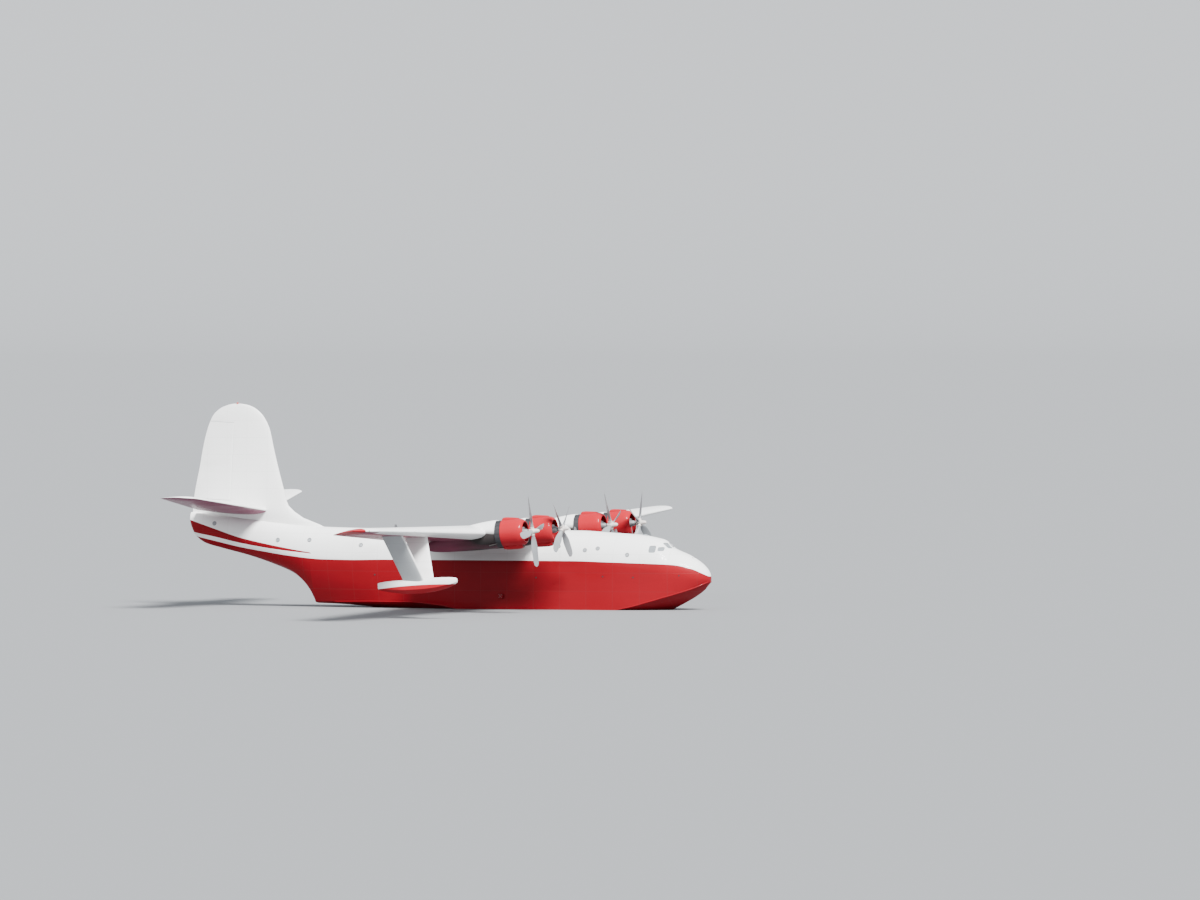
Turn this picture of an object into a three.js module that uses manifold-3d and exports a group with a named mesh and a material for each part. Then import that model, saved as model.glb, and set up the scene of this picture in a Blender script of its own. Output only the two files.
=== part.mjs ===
// Four-engined high-wing flying boat, modelled at half size.
// Units are millimetres, +X forward, +Y to port, +Z up.
// The origin is on the centreline at the resting waterline, at the main step.
import * as THREE from 'three';
import { mergeVertices } from 'three/addons/utils/BufferGeometryUtils.js';
import Module from 'manifold-3d';

// Driving dimensions. Lengths named here are full-size metres unless the name ends in MM.
const SCALE = 0.5;
const STEP_STATION = 15.0;
const WATERLINE = 1.03;
const HULL_LENGTH = 35.74;
const STERN_POST = 27.06;
const SEAM_MM = 0.15;

const WING_SEMI_SPAN = 30.48;
const WING_ROOT_LE = 10.7;
const WING_TIP_LE = 12.42;
const WING_ROOT_CHORD = 8.15;
const WING_TIP_CHORD = 2.75;
const WING_ROOT_Z = 5.85;
const WING_TIP_Z = 6.86;
const WING_INCIDENCE_DEG = 5.3;
const WING_BREAK = 7.7;
const WING_CAP_START = 28.5;
const WING_HINGE = 0.76;
const FLAP_START = 2.75;
const FLAP_END = 16.8;
const AILERON_END = 27.9;

const ENGINE_INNER = 4.85;
const ENGINE_OUTER = 10.6;
const HUB_STATION = 8.45;
const HUB_Z = 6.34;
const THRUST_TILT_DEG = 5.0;
const PROP_DIAMETER = 4.62;
const COWL_RADIUS = 0.9;

const STAB_SEMI_SPAN = 10.7;
const STAB_ROOT_LE = 30.35;
const STAB_TIP_LE = 31.8;
const STAB_ROOT_CHORD = 4.9;
const STAB_TIP_CHORD = 2.3;
const STAB_ROOT_Z = 7.28;
const STAB_TIP_Z = 8.37;
const STAB_HINGE = 0.66;
const ELEVATOR_START = 1.35;

const FLOAT_Y = 21.0;
const FLOAT_LENGTH = 5.3;
const FLOAT_NOSE = 9.82;
const FLOAT_DATUM_Z = 2.78;

const CONTROL_GAP_MM = 12;
const COVE_GAP_MM = 8;
const NOSE_SIDES = 16;

// Largest swing each way of the moving surfaces, in degrees.
const FLAP_SWING = 35;
const AILERON_SWING = 20;
const TAIL_SWING = 25;
const PIN_SIDES = 12;
const PIN_CLEAR_MM = 0.3;
const PIN_RADIUS_MM = 12;
const PIN_DEPTH_MM = 45;
const CAB_AFT = 6.5;
const CAB_FORE = 2.3;
const CAB_SILL = 4.12;
const CAB_WALL = 0.09;

const real = (metres) => metres * 1000 * SCALE;
const atX = (station) => real(STEP_STATION - station);
const atY = (side) => real(side);
const atZ = (height) => real(height - WATERLINE);
const degrees = (value) => value * Math.PI / 180;

const wasm = await Module();
wasm.setup();
const { Manifold } = wasm;

// Hull sections. Columns: station, keel height, chine height, chine half beam,
// side half beam, shoulder height, top height.
const FORE_ROWS = [
  [0.00, 2.80, 2.90, 0.16, 0.20, 3.00, 3.14],
  [0.08, 2.70, 2.84, 0.34, 0.42, 3.02, 3.42],
  [0.34, 2.40, 2.70, 0.62, 0.76, 3.05, 3.80],
  [0.91, 1.97, 2.44, 0.98, 1.14, 3.10, 4.26],
  [1.59, 1.58, 2.20, 1.30, 1.42, 3.18, 4.63],
  [2.16, 1.28, 2.02, 1.48, 1.58, 3.25, 4.86],
  [2.56, 1.08, 1.90, 1.60, 1.68, 3.30, 5.06],
  [2.84, 0.96, 1.82, 1.67, 1.74, 3.34, 5.32],
  [3.19, 0.82, 1.71, 1.75, 1.80, 3.38, 5.56],
  [3.78, 0.60, 1.54, 1.86, 1.88, 3.45, 5.70],
  [4.70, 0.43, 1.28, 1.97, 1.96, 3.55, 5.86],
  [5.40, 0.36, 1.13, 2.02, 2.00, 3.62, 5.90],
  [6.70, 0.25, 0.87, 2.06, 2.04, 3.75, 5.98],
  [8.80, 0.13, 0.60, 2.08, 2.05, 3.85, 6.10],
  [11.7, 0.03, 0.44, 2.08, 2.05, 3.90, 6.12],
  [15.0, 0.00, 0.42, 2.08, 2.05, 3.90, 6.12],
];
const AFT_ROWS = [
  [15.0, 0.42, 0.84, 2.06, 2.05, 3.90, 6.12],
  [16.1, 0.49, 0.96, 2.04, 2.05, 3.90, 6.12],
  [17.9, 0.61, 1.28, 1.96, 2.04, 3.92, 6.12],
  [20.3, 0.81, 1.46, 1.74, 1.95, 3.98, 6.14],
  [22.6, 1.04, 1.46, 1.38, 1.80, 4.05, 6.16],
  [25.0, 1.24, 1.42, 0.86, 1.58, 4.16, 6.20],
  [27.06, 1.32, 1.40, 0.26, 1.36, 4.32, 6.26],
];
const TAIL_ROWS = [
  [27.06, 1.34, 1.46, 0.26, 1.36, 4.32, 6.26],
  [27.30, 1.90, 2.08, 0.46, 1.34, 4.36, 6.28],
  [27.80, 2.57, 2.80, 0.62, 1.29, 4.48, 6.31],
  [28.60, 3.22, 3.46, 0.66, 1.20, 4.66, 6.38],
  [29.90, 3.77, 4.02, 0.60, 1.06, 4.98, 6.52],
  [31.70, 4.35, 4.58, 0.48, 0.86, 5.42, 6.76],
  [33.55, 4.81, 5.02, 0.34, 0.64, 5.80, 6.98],
  [34.80, 5.16, 5.36, 0.25, 0.48, 6.10, 7.10],
  [35.50, 5.71, 5.86, 0.19, 0.38, 6.36, 7.16],
  [35.74, 6.22, 6.32, 0.13, 0.30, 6.64, 7.14],
];

// One hull ring, keel strip first, top point in the middle. Inset shrinks it all round.
function hullRing(row, inset = 0) {
  const [station, keel, chine, chineHalf, sideHalf, shoulder, top] = row;
  const x = atX(station);
  const low = keel + inset;
  const half = [];
  half.push([Math.min(0.05, chineHalf * 0.3), low]);
  half.push([(chineHalf - inset) * 0.55, low + (chine - keel) * 0.42]);
  half.push([chineHalf - inset, chine + inset * 0.4]);
  const side = sideHalf - inset;
  half.push([(chineHalf - inset) * 0.45 + side * 0.55, chine + (shoulder - chine) * 0.4]);
  const rise = top - inset - shoulder;
  for (const angle of [0, 18, 36, 52, 66, 79]) {
    const across = Math.pow(Math.cos(degrees(angle)), 0.86);
    const up = Math.pow(Math.sin(degrees(angle)), 0.94);
    half.push([side * across, shoulder + rise * up]);
  }
  const ring = half.map(([y, z]) => [x, -real(y), atZ(z)]);
  ring.push([x, 0, atZ(top - inset)]);
  for (const [y, z] of half.slice().reverse()) {
    ring.push([x, real(y), atZ(z)]);
  }
  return ring;
}

// Closed solid through rings of equal point count, with ladder caps on both ends.
function loft(rings) {
  const count = rings[0].length;
  const positions = rings.flat(2);
  const index = [];
  for (let r = 0; r < rings.length - 1; r += 1) {
    for (let i = 0; i < count; i += 1) {
      const a = r * count + i;
      const b = r * count + (i + 1) % count;
      index.push(a, b, b + count, a, b + count, a + count);
    }
  }
  for (const [base, flip] of [[0, true], [(rings.length - 1) * count, false]]) {
    for (let i = 0; i < (count - 1) / 2; i += 1) {
      const j = count - 1 - i;
      const faces = [[i, i + 1, j]];
      if (i + 1 < j - 1) {
        faces.push([i + 1, j - 1, j]);
      }
      for (const face of faces) {
        const [p, q, s] = face.map((v) => v + base);
        index.push(...(flip ? [p, s, q] : [p, q, s]));
      }
    }
  }
  return solidFrom(positions, index);
}

// Closed solid from corner and face lists, turned right side out.
function solidFrom(positions, index) {
  let volume = 0;
  const at = (i) => new THREE.Vector3(...positions.slice(3 * i, 3 * i + 3));
  for (let f = 0; f < index.length; f += 3) {
    volume += at(index[f]).dot(at(index[f + 1]).cross(at(index[f + 2])));
  }
  const faces = index.slice();
  if (volume < 0) {
    for (let f = 0; f < faces.length; f += 3) {
      [faces[f + 1], faces[f + 2]] = [faces[f + 2], faces[f + 1]];
    }
  }
  const source = new wasm.Mesh({
    numProp: 3,
    vertProperties: new Float32Array(positions),
    triVerts: new Uint32Array(faces),
  });
  source.merge();
  return new Manifold(source);
}

// Closed solid from a simple shape.
function solid(geometry) {
  const plain = geometry.index ? geometry.toNonIndexed() : geometry.clone();
  plain.deleteAttribute('normal');
  plain.deleteAttribute('uv');
  const merged = mergeVertices(plain, 1e-3);
  return solidFrom(Array.from(merged.attributes.position.array), Array.from(merged.index.array));
}

// Box from its two corners.
function box(x0, x1, y0, y1, z0, z1) {
  const geometry = new THREE.BoxGeometry(x1 - x0, y1 - y0, z1 - z0);
  geometry.translate((x0 + x1) / 2, (y0 + y1) / 2, (z0 + z1) / 2);
  return solid(geometry);
}

// Turned solid about local +X from [along, radius] points, profile closed or on the axis.
function turned(profile, segments) {
  const points = profile.map(([along, radius]) => new THREE.Vector2(radius, along));
  const geometry = new THREE.LatheGeometry(points, segments);
  geometry.rotateZ(-Math.PI / 2);
  return solid(geometry);
}

// Round rod between two points.
function rod(from, to, radiusFrom, radiusTo, segments = 12) {
  const a = new THREE.Vector3(...from);
  const b = new THREE.Vector3(...to);
  const geometry = new THREE.CylinderGeometry(radiusTo, radiusFrom, a.distanceTo(b), segments);
  geometry.translate(0, a.distanceTo(b) / 2, 0);
  const turn = new THREE.Quaternion();
  turn.setFromUnitVectors(new THREE.Vector3(0, 1, 0), b.clone().sub(a).normalize());
  geometry.applyQuaternion(turn);
  geometry.translate(a.x, a.y, a.z);
  return solid(geometry);
}

// Aerofoil outline in chord fractions, lower trailing edge first, nose in the middle.
function aerofoil(thickness, camber) {
  const places = [1, 0.86, 0.72, 0.55, 0.38, 0.22, 0.1, 0.03];
  const half = (u) => 5 * thickness * (0.2969 * Math.sqrt(u) - 0.126 * u - 0.3516 * u * u
    + 0.2843 * u * u * u - 0.1015 * u * u * u * u);
  const line = (u) => 4 * camber * u * (1 - u);
  const lower = places.map((u) => [u, line(u) - half(u) - 0.0012]);
  const upper = places.map((u) => [u, line(u) + half(u) + 0.0012]).reverse();
  return [...lower, [0, 0], ...upper];
}

// Aerofoil ring placed by its nose point, chord vector direction and thickness direction.
function foilRing(nose, chord, thickness, camber, aft, up, grow = 0) {
  return aerofoil(thickness, camber).map(([u, v]) => {
    const along = u * chord + (u < 0.02 ? -2 * grow : 0) + (u > 0.99 ? grow : 0);
    const lift = v * chord + Math.sign(v) * grow;
    return [0, 1, 2].map((k) => nose[k] + aft[k] * along + up[k] * lift);
  });
}

// Hinged surface cut from a lifting solid. Returns the fixed rest and the moving piece.
// The cove round the nose is wide enough for the skin behind the hinge to swing past its lip.
function hinged(whole, from, to, radii, reach, sideHint, swing) {
  const a = new THREE.Vector3(...from);
  const b = new THREE.Vector3(...to);
  const axis = b.clone().sub(a).normalize();
  const aft = new THREE.Vector3(-1, 0, 0);
  aft.addScaledVector(axis, -aft.dot(axis)).normalize();
  const across = new THREE.Vector3().crossVectors(aft, axis).normalize();
  const length = a.distanceTo(b);
  const place = new THREE.Matrix4().makeBasis(aft, axis, across);
  place.setPosition(a);
  const slab = (grow) => {
    const geometry = new THREE.BoxGeometry(reach, length + 2 * grow, sideHint);
    geometry.translate(reach / 2, length / 2, 0);
    return solid(geometry.applyMatrix4(place));
  };
  const barrel = (first, last, ends) => {
    const geometry = new THREE.CylinderGeometry(last, first, length + 2 * ends, NOSE_SIDES);
    geometry.translate(0, length / 2, 0);
    return solid(geometry.applyMatrix4(place));
  };
  const nose = radii.map((half) => half * 0.96);
  const wide = Math.cos((swing / 360) * Math.PI) * Math.cos(Math.PI / NOSE_SIDES);
  const cove = radii.map((half) => half / wide + COVE_GAP_MM);
  let moving = whole.intersect(slab(0)).add(barrel(nose[0], nose[1], 0));
  let cutter = slab(CONTROL_GAP_MM).add(barrel(cove[0], cove[1], CONTROL_GAP_MM));
  const pin = PIN_RADIUS_MM;
  const plug = (radius, middle, long) => {
    const geometry = new THREE.CylinderGeometry(radius, radius, long, PIN_SIDES);
    geometry.translate(0, middle, 0);
    return solid(geometry.applyMatrix4(place));
  };
  const bore = (pin + PIN_CLEAR_MM) / Math.cos(Math.PI / PIN_SIDES);
  for (const end of [0, length]) {
    moving = moving.subtract(plug(bore, end, 2 * PIN_DEPTH_MM + 24));
    cutter = cutter.subtract(plug(pin, end, 2 * PIN_DEPTH_MM));
  }
  return { moving, cutter };
}

const nodes = [];
const colours = {
  white: 0xf4f3ef,
  red: 0xb5303a,
  grey: 0x9aa0a4,
  dark: 0x2d2f33,
  metal: 0xb9bcc0,
  glass: 0x5b6a74,
  leather: 0x4a3a30,
};
const finishes = {};
for (const [name, value] of Object.entries(colours)) {
  finishes[name] = new THREE.MeshStandardMaterial({ color: value, name });
}
function keep(name, manifold, finish) {
  const result = manifold.getMesh();
  const geometry = new THREE.BufferGeometry();
  geometry.setAttribute('position', new THREE.BufferAttribute(result.vertProperties, 3));
  geometry.setIndex(new THREE.BufferAttribute(result.triVerts, 1));
  geometry.computeVertexNormals();
  const mesh = new THREE.Mesh(geometry, finishes[finish]);
  mesh.name = name;
  nodes.push(mesh);
}

// Hull solids between two stations, rings taken from the tables with ends interpolated.
function hullBetween(rows, fore, aft, inset = 0) {
  const blend = (station) => {
    const next = rows.findIndex((row) => row[0] >= station - 1e-9);
    if (next <= 0) {
      return rows[0].slice();
    }
    const [p, q] = [rows[next - 1], rows[next]];
    const t = (station - p[0]) / (q[0] - p[0]);
    return p.map((value, k) => value + (q[k] - value) * t);
  };
  const inside = rows.filter((row) => row[0] > fore + 0.01 && row[0] < aft - 0.01);
  return loft([blend(fore), ...inside, blend(aft)].map((row) => hullRing(row, inset)));
}
const seam = SEAM_MM / (1000 * SCALE);
let hullFore = hullBetween(FORE_ROWS, 0, STEP_STATION - seam);
let hullAft = hullBetween(AFT_ROWS, STEP_STATION + seam, STERN_POST - seam);
let hullTail = hullBetween(TAIL_ROWS, STERN_POST + seam, HULL_LENGTH);

// Wing stations.
const incidence = degrees(WING_INCIDENCE_DEG);
const wingAft = [-Math.cos(incidence), 0, -Math.sin(incidence)];
const wingUp = [-Math.sin(incidence), 0, Math.cos(incidence)];
function wingAt(side, out) {
  const t = out / WING_SEMI_SPAN;
  const chord = WING_ROOT_CHORD + (WING_TIP_CHORD - WING_ROOT_CHORD) * t;
  const nose = [
    atX(WING_ROOT_LE + (WING_TIP_LE - WING_ROOT_LE) * t),
    side * atY(out),
    atZ(WING_ROOT_Z + (WING_TIP_Z - WING_ROOT_Z) * t),
  ];
  return { nose, chord: real(chord), thickness: 0.17 - 0.05 * t, camber: 0.028 };
}
function wingRing(side, out, grow = 0) {
  const { nose, chord, thickness, camber } = wingAt(side, out);
  return foilRing(nose, chord, thickness, camber, wingAft, wingUp, grow);
}
// Wing solid through signed span stations given from starboard to port.
function wingSpan(stations, grow = 0) {
  return loft(stations.map((out) => wingRing(out < 0 ? -1 : 1, Math.abs(out), grow)));
}
// Point on the chord line at a chord fraction, and the local half thickness there.
function wingChordPoint(side, out, fraction) {
  const { nose, chord, thickness, camber } = wingAt(side, out);
  const lift = 4 * camber * fraction * (1 - fraction) * chord;
  return nose.map((value, k) => value + wingAft[k] * chord * fraction + wingUp[k] * lift);
}
function halfThickness(thickness, u, chord) {
  const shape = 0.2969 * Math.sqrt(u) - 0.126 * u - 0.3516 * u * u
    + 0.2843 * u * u * u - 0.1015 * u * u * u * u;
  return chord * (5 * thickness * shape + 0.0012);
}

// Saddle: the hull crown over the wing belongs to the wing centre section.
const saddleFore = 9.7;
const saddleAft = 19.35;
const saddleDrop = 0.70;
function saddleBlock(grow) {
  const length = real(saddleAft - saddleFore);
  const tall = real(4);
  const geometry = new THREE.BoxGeometry(length, real(6), tall);
  geometry.translate(0, 0, tall / 2);
  geometry.rotateY(-incidence);
  const middle = (saddleFore + saddleAft) / 2;
  const height = WING_ROOT_Z - saddleDrop - (middle - WING_ROOT_LE) * Math.tan(incidence);
  geometry.translate(atX(middle), 0, atZ(height) - grow);
  return solid(geometry);
}
const saddleSlab = box(
  atX(saddleAft), atX(saddleFore), -real(3), real(3), atZ(3.5), atZ(9));
const saddleSlabWide = box(
  atX(saddleAft) - 0.3, atX(saddleFore) + 0.3, -real(3), real(3), atZ(3.5), atZ(9));
const tiltedKeep = (() => {
  const geometry = new THREE.BoxGeometry(real(14), real(6.2), real(6));
  geometry.translate(0, 0, real(3));
  geometry.rotateY(-incidence);
  const middle = (saddleFore + saddleAft) / 2;
  const height = WING_ROOT_Z - saddleDrop - (middle - WING_ROOT_LE) * Math.tan(incidence);
  geometry.translate(atX(middle), 0, atZ(height));
  return solid(geometry);
})();
const crownCut = saddleSlabWide.intersect(tiltedKeep.translate([0, 0, -0.3]));
const crown = hullFore.add(hullAft).add(
  hullBetween(AFT_ROWS, STEP_STATION - seam * 4, STEP_STATION + seam * 4))
  .intersect(saddleSlab).intersect(tiltedKeep);
hullFore = hullFore.subtract(crownCut);
hullAft = hullAft.subtract(crownCut);

// Whole lifting half, used to cut the fixed and the moving pieces.
const hinges = {};
for (const [word, side] of [['left', 1], ['right', -1]]) {
  const half = side > 0
    ? wingSpan([0, WING_BREAK, WING_CAP_START])
    : wingSpan([-WING_CAP_START, -WING_BREAK, 0]);
  const flapFrom = wingChordPoint(side, FLAP_START + 0.05, WING_HINGE);
  const flapTo = wingChordPoint(side, FLAP_END, WING_HINGE);
  const aileronFrom = wingChordPoint(side, FLAP_END + 0.12, WING_HINGE);
  const aileronTo = wingChordPoint(side, AILERON_END, WING_HINGE);
  const halfAt = (out) => {
    const { chord, thickness } = wingAt(side, out);
    return halfThickness(thickness, WING_HINGE, chord);
  };
  const radiusAt = (out) => {
    const [near, far] = out < WING_BREAK ? [0, WING_BREAK] : [WING_BREAK, WING_CAP_START];
    const share = (out - near) / (far - near);
    return halfAt(near) * (1 - share) + halfAt(far) * share;
  };
  const flapRadii = [radiusAt(FLAP_START), radiusAt(FLAP_END)];
  const aileronRadii = [radiusAt(FLAP_END), radiusAt(AILERON_END)];
  const flap = hinged(half, flapFrom, flapTo, flapRadii, real(2.6), real(3), FLAP_SWING);
  const aileron = hinged(
    half, aileronFrom, aileronTo, aileronRadii, real(2.2), real(3), AILERON_SWING);
  hinges[word] = { flap, aileron, flapFrom, flapTo, aileronFrom, aileronTo };
  keep(`flap_${word}`, flap.moving, 'white');
  keep(`aileron_${word}`, aileron.moving, 'white');
}

let wingCentre = wingSpan([-WING_BREAK, 0, WING_BREAK]).add(crown);
let outerLeft = wingSpan([WING_BREAK + seam * 2, WING_CAP_START - seam * 2]);
let outerRight = wingSpan([-WING_CAP_START + seam * 2, -WING_BREAK - seam * 2]);
for (const word of ['left', 'right']) {
  wingCentre = wingCentre.subtract(hinges[word].flap.cutter);
}
outerLeft = outerLeft.subtract(hinges.left.flap.cutter).subtract(hinges.left.aileron.cutter);
outerRight = outerRight.subtract(hinges.right.flap.cutter)
  .subtract(hinges.right.aileron.cutter);

// Rounded wing tips.
function tipRings(side) {
  const rings = [];
  const reach = WING_SEMI_SPAN - WING_CAP_START;
  for (const angle of [0, 30, 52, 68, 80]) {
    const out = WING_CAP_START + reach * Math.sin(degrees(angle));
    const shrink = Math.pow(Math.cos(degrees(angle)), 0.75);
    const { nose, chord, thickness, camber } = wingAt(side, out);
    const moved = nose.map((value, k) => value + wingAft[k] * chord * (1 - shrink) * 0.36);
    rings.push(foilRing(moved, chord * shrink, thickness, camber, wingAft, wingUp));
  }
  return rings;
}
for (const [word, side] of [['left', 1], ['right', -1]]) {
  keep(`wing_tip_${word}`, loft(tipRings(side)), 'red');
}

// Engine groups. The thrust axis is local +X, tilted nose up, through the hub point.
const tilt = new THREE.Matrix4().makeRotationY(-degrees(THRUST_TILT_DEG));
function engineFrame(side, out) {
  const place = new THREE.Matrix4().makeTranslation(atX(HUB_STATION), side * atY(out), atZ(HUB_Z));
  return place.multiply(tilt).toArray();
}
const R = real(COWL_RADIUS);
const SHAFT = real(0.056);
const SHAFT_SIDES = 20;

// Cowl: open-ended ring with a rolled lip, local X runs aft from the hub as negative.
function cowl() {
  const shell = turned([
    [-real(0.50), R * 0.70], [-real(0.46), R * 0.76], [-real(0.49), R * 0.83],
    [-real(0.66), R * 0.94], [-real(0.98), R * 1.0], [-real(1.95), R * 1.0],
    [-real(2.30), R * 0.95], [-real(2.30), R * 0.91], [-real(1.95), R * 0.95],
    [-real(0.98), R * 0.95], [-real(0.70), R * 0.87], [-real(0.56), R * 0.74],
    [-real(0.50), R * 0.70],
  ], 20);
  const chin = loft([
    scoopRing(-real(0.66), -R * 0.95, real(0.26), real(0.10)),
    scoopRing(-real(0.90), -R * 0.96, real(0.40), real(0.17)),
    scoopRing(-real(1.90), -R * 0.96, real(0.40), real(0.17)),
    scoopRing(-real(2.30), -R * 0.92, real(0.32), real(0.08)),
  ]);
  const top = loft([
    scoopRing(-real(0.85), R * 0.94, real(0.16), real(0.08)),
    scoopRing(-real(1.15), R * 0.98, real(0.22), real(0.13)),
    scoopRing(-real(1.85), R * 1.02, real(0.22), real(0.14)),
    scoopRing(-real(2.25), R * 0.95, real(0.2), real(0.06)),
  ]);
  const bore = turned([
    [-real(0.40), 0], [-real(0.40), R * 0.66], [-real(0.56), R * 0.72],
    [-real(0.70), R * 0.86], [-real(0.98), R * 0.94], [-real(1.95), R * 0.94],
    [-real(2.40), R * 0.90], [-real(2.40), 0],
  ], 20);
  return shell.add(chin.subtract(bore)).add(top.subtract(bore));
}
// Rounded ring for the scoops, in a plane across local X.
function scoopRing(x, z, halfWide, halfHigh) {
  const ring = [];
  const count = 7;
  for (let i = 0; i < count; i += 1) {
    const angle = degrees(-90 + 360 * (i + 0.5) / count);
    ring.push([x, -halfWide * Math.cos(angle), z + halfHigh * Math.sin(angle)]);
  }
  return ring;
}

// Two-row radial engine: case, nose, and a ring of finned barrels drawn as blocks.
function engine() {
  const crankcase = turned([
    [-real(0.42), 0], [-real(0.42), real(0.1)], [-real(0.60), real(0.2)],
    [-real(0.85), real(0.31)], [-real(1.1), real(0.36)], [-real(1.95), real(0.36)],
    [-real(2.05), real(0.30)], [-real(2.30), real(0.30)], [-real(2.30), 0],
  ], 12);
  const shaft = turned([
    [real(0.05), 0], [real(0.05), SHAFT], [-real(0.5), SHAFT], [-real(0.5), 0],
  ], SHAFT_SIDES);
  let body = crankcase.add(shaft);
  for (let i = 0; i < 9; i += 1) {
    const barrel = box(
      -real(1.34), -real(1.06), -real(0.11), real(0.11), real(0.25), R * 0.84);
    body = body.add(barrel.rotate([i * 40, 0, 0]));
    const rear = box(
      -real(1.78), -real(1.5), -real(0.11), real(0.11), real(0.25), R * 0.84);
    body = body.add(rear.rotate([i * 40 + 20, 0, 0]));
  }
  return body;
}

// Four-bladed propeller about local X with a rounded hub.
function propeller() {
  const hub = turned([
    [real(0.34), 0], [real(0.32), real(0.09)], [real(0.2), real(0.15)],
    [real(0.12), real(0.24)], [-real(0.14), real(0.25)], [-real(0.2), real(0.15)],
    [-real(0.38), real(0.12)], [-real(0.38), 0],
  ], 12);
  const rows = [
    [0.16, 0.10, 0.10, 60], [0.34, 0.11, 0.10, 56], [0.62, 0.17, 0.055, 46],
    [1.15, 0.24, 0.034, 36], [1.8, 0.235, 0.022, 28], [2.2, 0.18, 0.014, 24],
    [PROP_DIAMETER / 2, 0.09, 0.009, 22],
  ];
  const blade = loft(rows.map(([radius, half, thin, pitch]) => {
    const ring = [];
    for (let i = 0; i < 7; i += 1) {
      const angle = degrees(-90 + 360 * (i + 0.5) / 7);
      const wide = real(half) * Math.sin(angle);
      const thick = real(thin) * Math.cos(angle);
      const turn = degrees(pitch);
      const x = wide * Math.sin(turn) + thick * Math.cos(turn);
      const y = wide * Math.cos(turn) - thick * Math.sin(turn);
      ring.push([x, -y, real(radius)]);
    }
    return ring;
  }));
  let body = hub;
  for (let i = 0; i < 4; i += 1) {
    body = body.add(blade.rotate([i * 90, 0, 0]));
  }
  const bore = (SHAFT + PIN_CLEAR_MM) / Math.cos(Math.PI / SHAFT_SIDES);
  return body.subtract(turned([
    [real(0.1), 0], [real(0.1), bore], [-real(0.5), bore], [-real(0.5), 0],
  ], SHAFT_SIDES));
}

// Nacelle behind the cowl, fading out under and over the wing.
function nacelleRings() {
  const rows = [
    [2.3007, 0.86, 0.88, 0.02], [2.6, 0.84, 0.90, 0.0], [3.6, 0.76, 0.86, -0.06],
    [4.8, 0.60, 0.74, -0.16], [6.0, 0.40, 0.56, -0.30], [6.9, 0.22, 0.34, -0.42],
    [7.3, 0.08, 0.12, -0.48],
  ];
  return rows.map(([back, wide, high, lift]) => {
    const ring = [];
    for (let i = 0; i < 13; i += 1) {
      const angle = degrees(-90 + 360 * (i + 0.5) / 13);
      ring.push([
        -real(back), -real(wide) * Math.cos(angle), real(lift) + real(high) * Math.sin(angle),
      ]);
    }
    return ring;
  });
}
const parts = { cowl: cowl(), engine: engine(), propeller: propeller(), nacelle: loft(nacelleRings()) };
const wingGrown = wingSpan(
  [-WING_CAP_START, -WING_BREAK, 0, WING_BREAK, WING_CAP_START], 0.3);
// Columns: name, side, distance out, parked blade angle in degrees.
const bays = [
  ['left_outer', 1, ENGINE_OUTER, 62], ['left_inner', 1, ENGINE_INNER, 20],
  ['right_inner', -1, ENGINE_INNER, 38], ['right_outer', -1, ENGINE_OUTER, 7],
];
for (const [word, side, out, parked] of bays) {
  const frame = engineFrame(side, out);
  keep(`cowl_${word}`, parts.cowl.transform(frame), 'red');
  keep(`engine_${word}`, parts.engine.transform(frame), 'metal');
  keep(`propeller_${word}`, parts.propeller.rotate([parked, 0, 0]).transform(frame), 'grey');
  const rest = parts.nacelle.transform(frame).subtract(wingGrown);
  const pieces = rest.decompose().sort((a, b) => b.volume() - a.volume());
  keep(`nacelle_${word}`, pieces[0], 'white');
}
keep('wing_centre', wingCentre, 'white');
keep('wing_outer_left', outerLeft, 'white');
keep('wing_outer_right', outerRight, 'white');

const object = new THREE.Group();
object.name = 'flying_boat';

// Fin with its dorsal fillet, and the rudder. Columns: height, leading edge, trailing edge,
// thickness in metres.
const FIN_ROWS = [
  [6.10, 26.2, 35.60, 0.40], [6.45, 27.0, 35.66, 0.50], [6.80, 27.95, 35.66, 0.62],
  [7.20, 28.57, 35.64, 0.66], [7.70, 29.05, 35.60, 0.64], [8.60, 29.30, 35.46, 0.60],
  [10.0, 29.68, 35.16, 0.53], [11.4, 30.02, 34.90, 0.46], [12.6, 30.29, 34.58, 0.40],
  [13.4, 30.70, 34.22, 0.34], [13.9, 31.22, 33.70, 0.24], [14.16, 31.8, 33.1, 0.15],
  [14.24, 32.3, 32.75, 0.08],
];
const finLoft = (grow) => loft(FIN_ROWS.map(([height, fore, aft, thick]) => foilRing(
  [atX(fore), 0, atZ(height)], real(aft - fore), thick / (aft - fore), 0,
  [-1, 0, 0], [0, 1, 0], grow,
)));
const finSolid = finLoft(0);
const clear = 0.0007;
const tailGrown = hullBetween(TAIL_ROWS, STERN_POST, HULL_LENGTH, -clear);
const RUDDER_LOW = 7.95;
const RUDDER_TOP = 13.0;
const rudderFrom = [atX(33.02), 0, atZ(RUDDER_LOW)];
const rudderTo = [atX(32.78), 0, atZ(RUDDER_TOP)];
function finHalf(height, station) {
  const next = FIN_ROWS.findIndex((row) => row[0] >= height);
  const [p, q] = [FIN_ROWS[next - 1], FIN_ROWS[next]];
  const t = (height - p[0]) / (q[0] - p[0]);
  const [, fore, aft, thick] = p.map((value, k) => value + (q[k] - value) * t);
  return real(halfThickness(thick / (aft - fore), (station - fore) / (aft - fore), aft - fore));
}
const rudderRadii = [finHalf(RUDDER_LOW, 33.02), finHalf(RUDDER_TOP, 32.78)];
const rudder = hinged(finSolid, rudderFrom, rudderTo, rudderRadii, real(4), real(3), TAIL_SWING);

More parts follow.
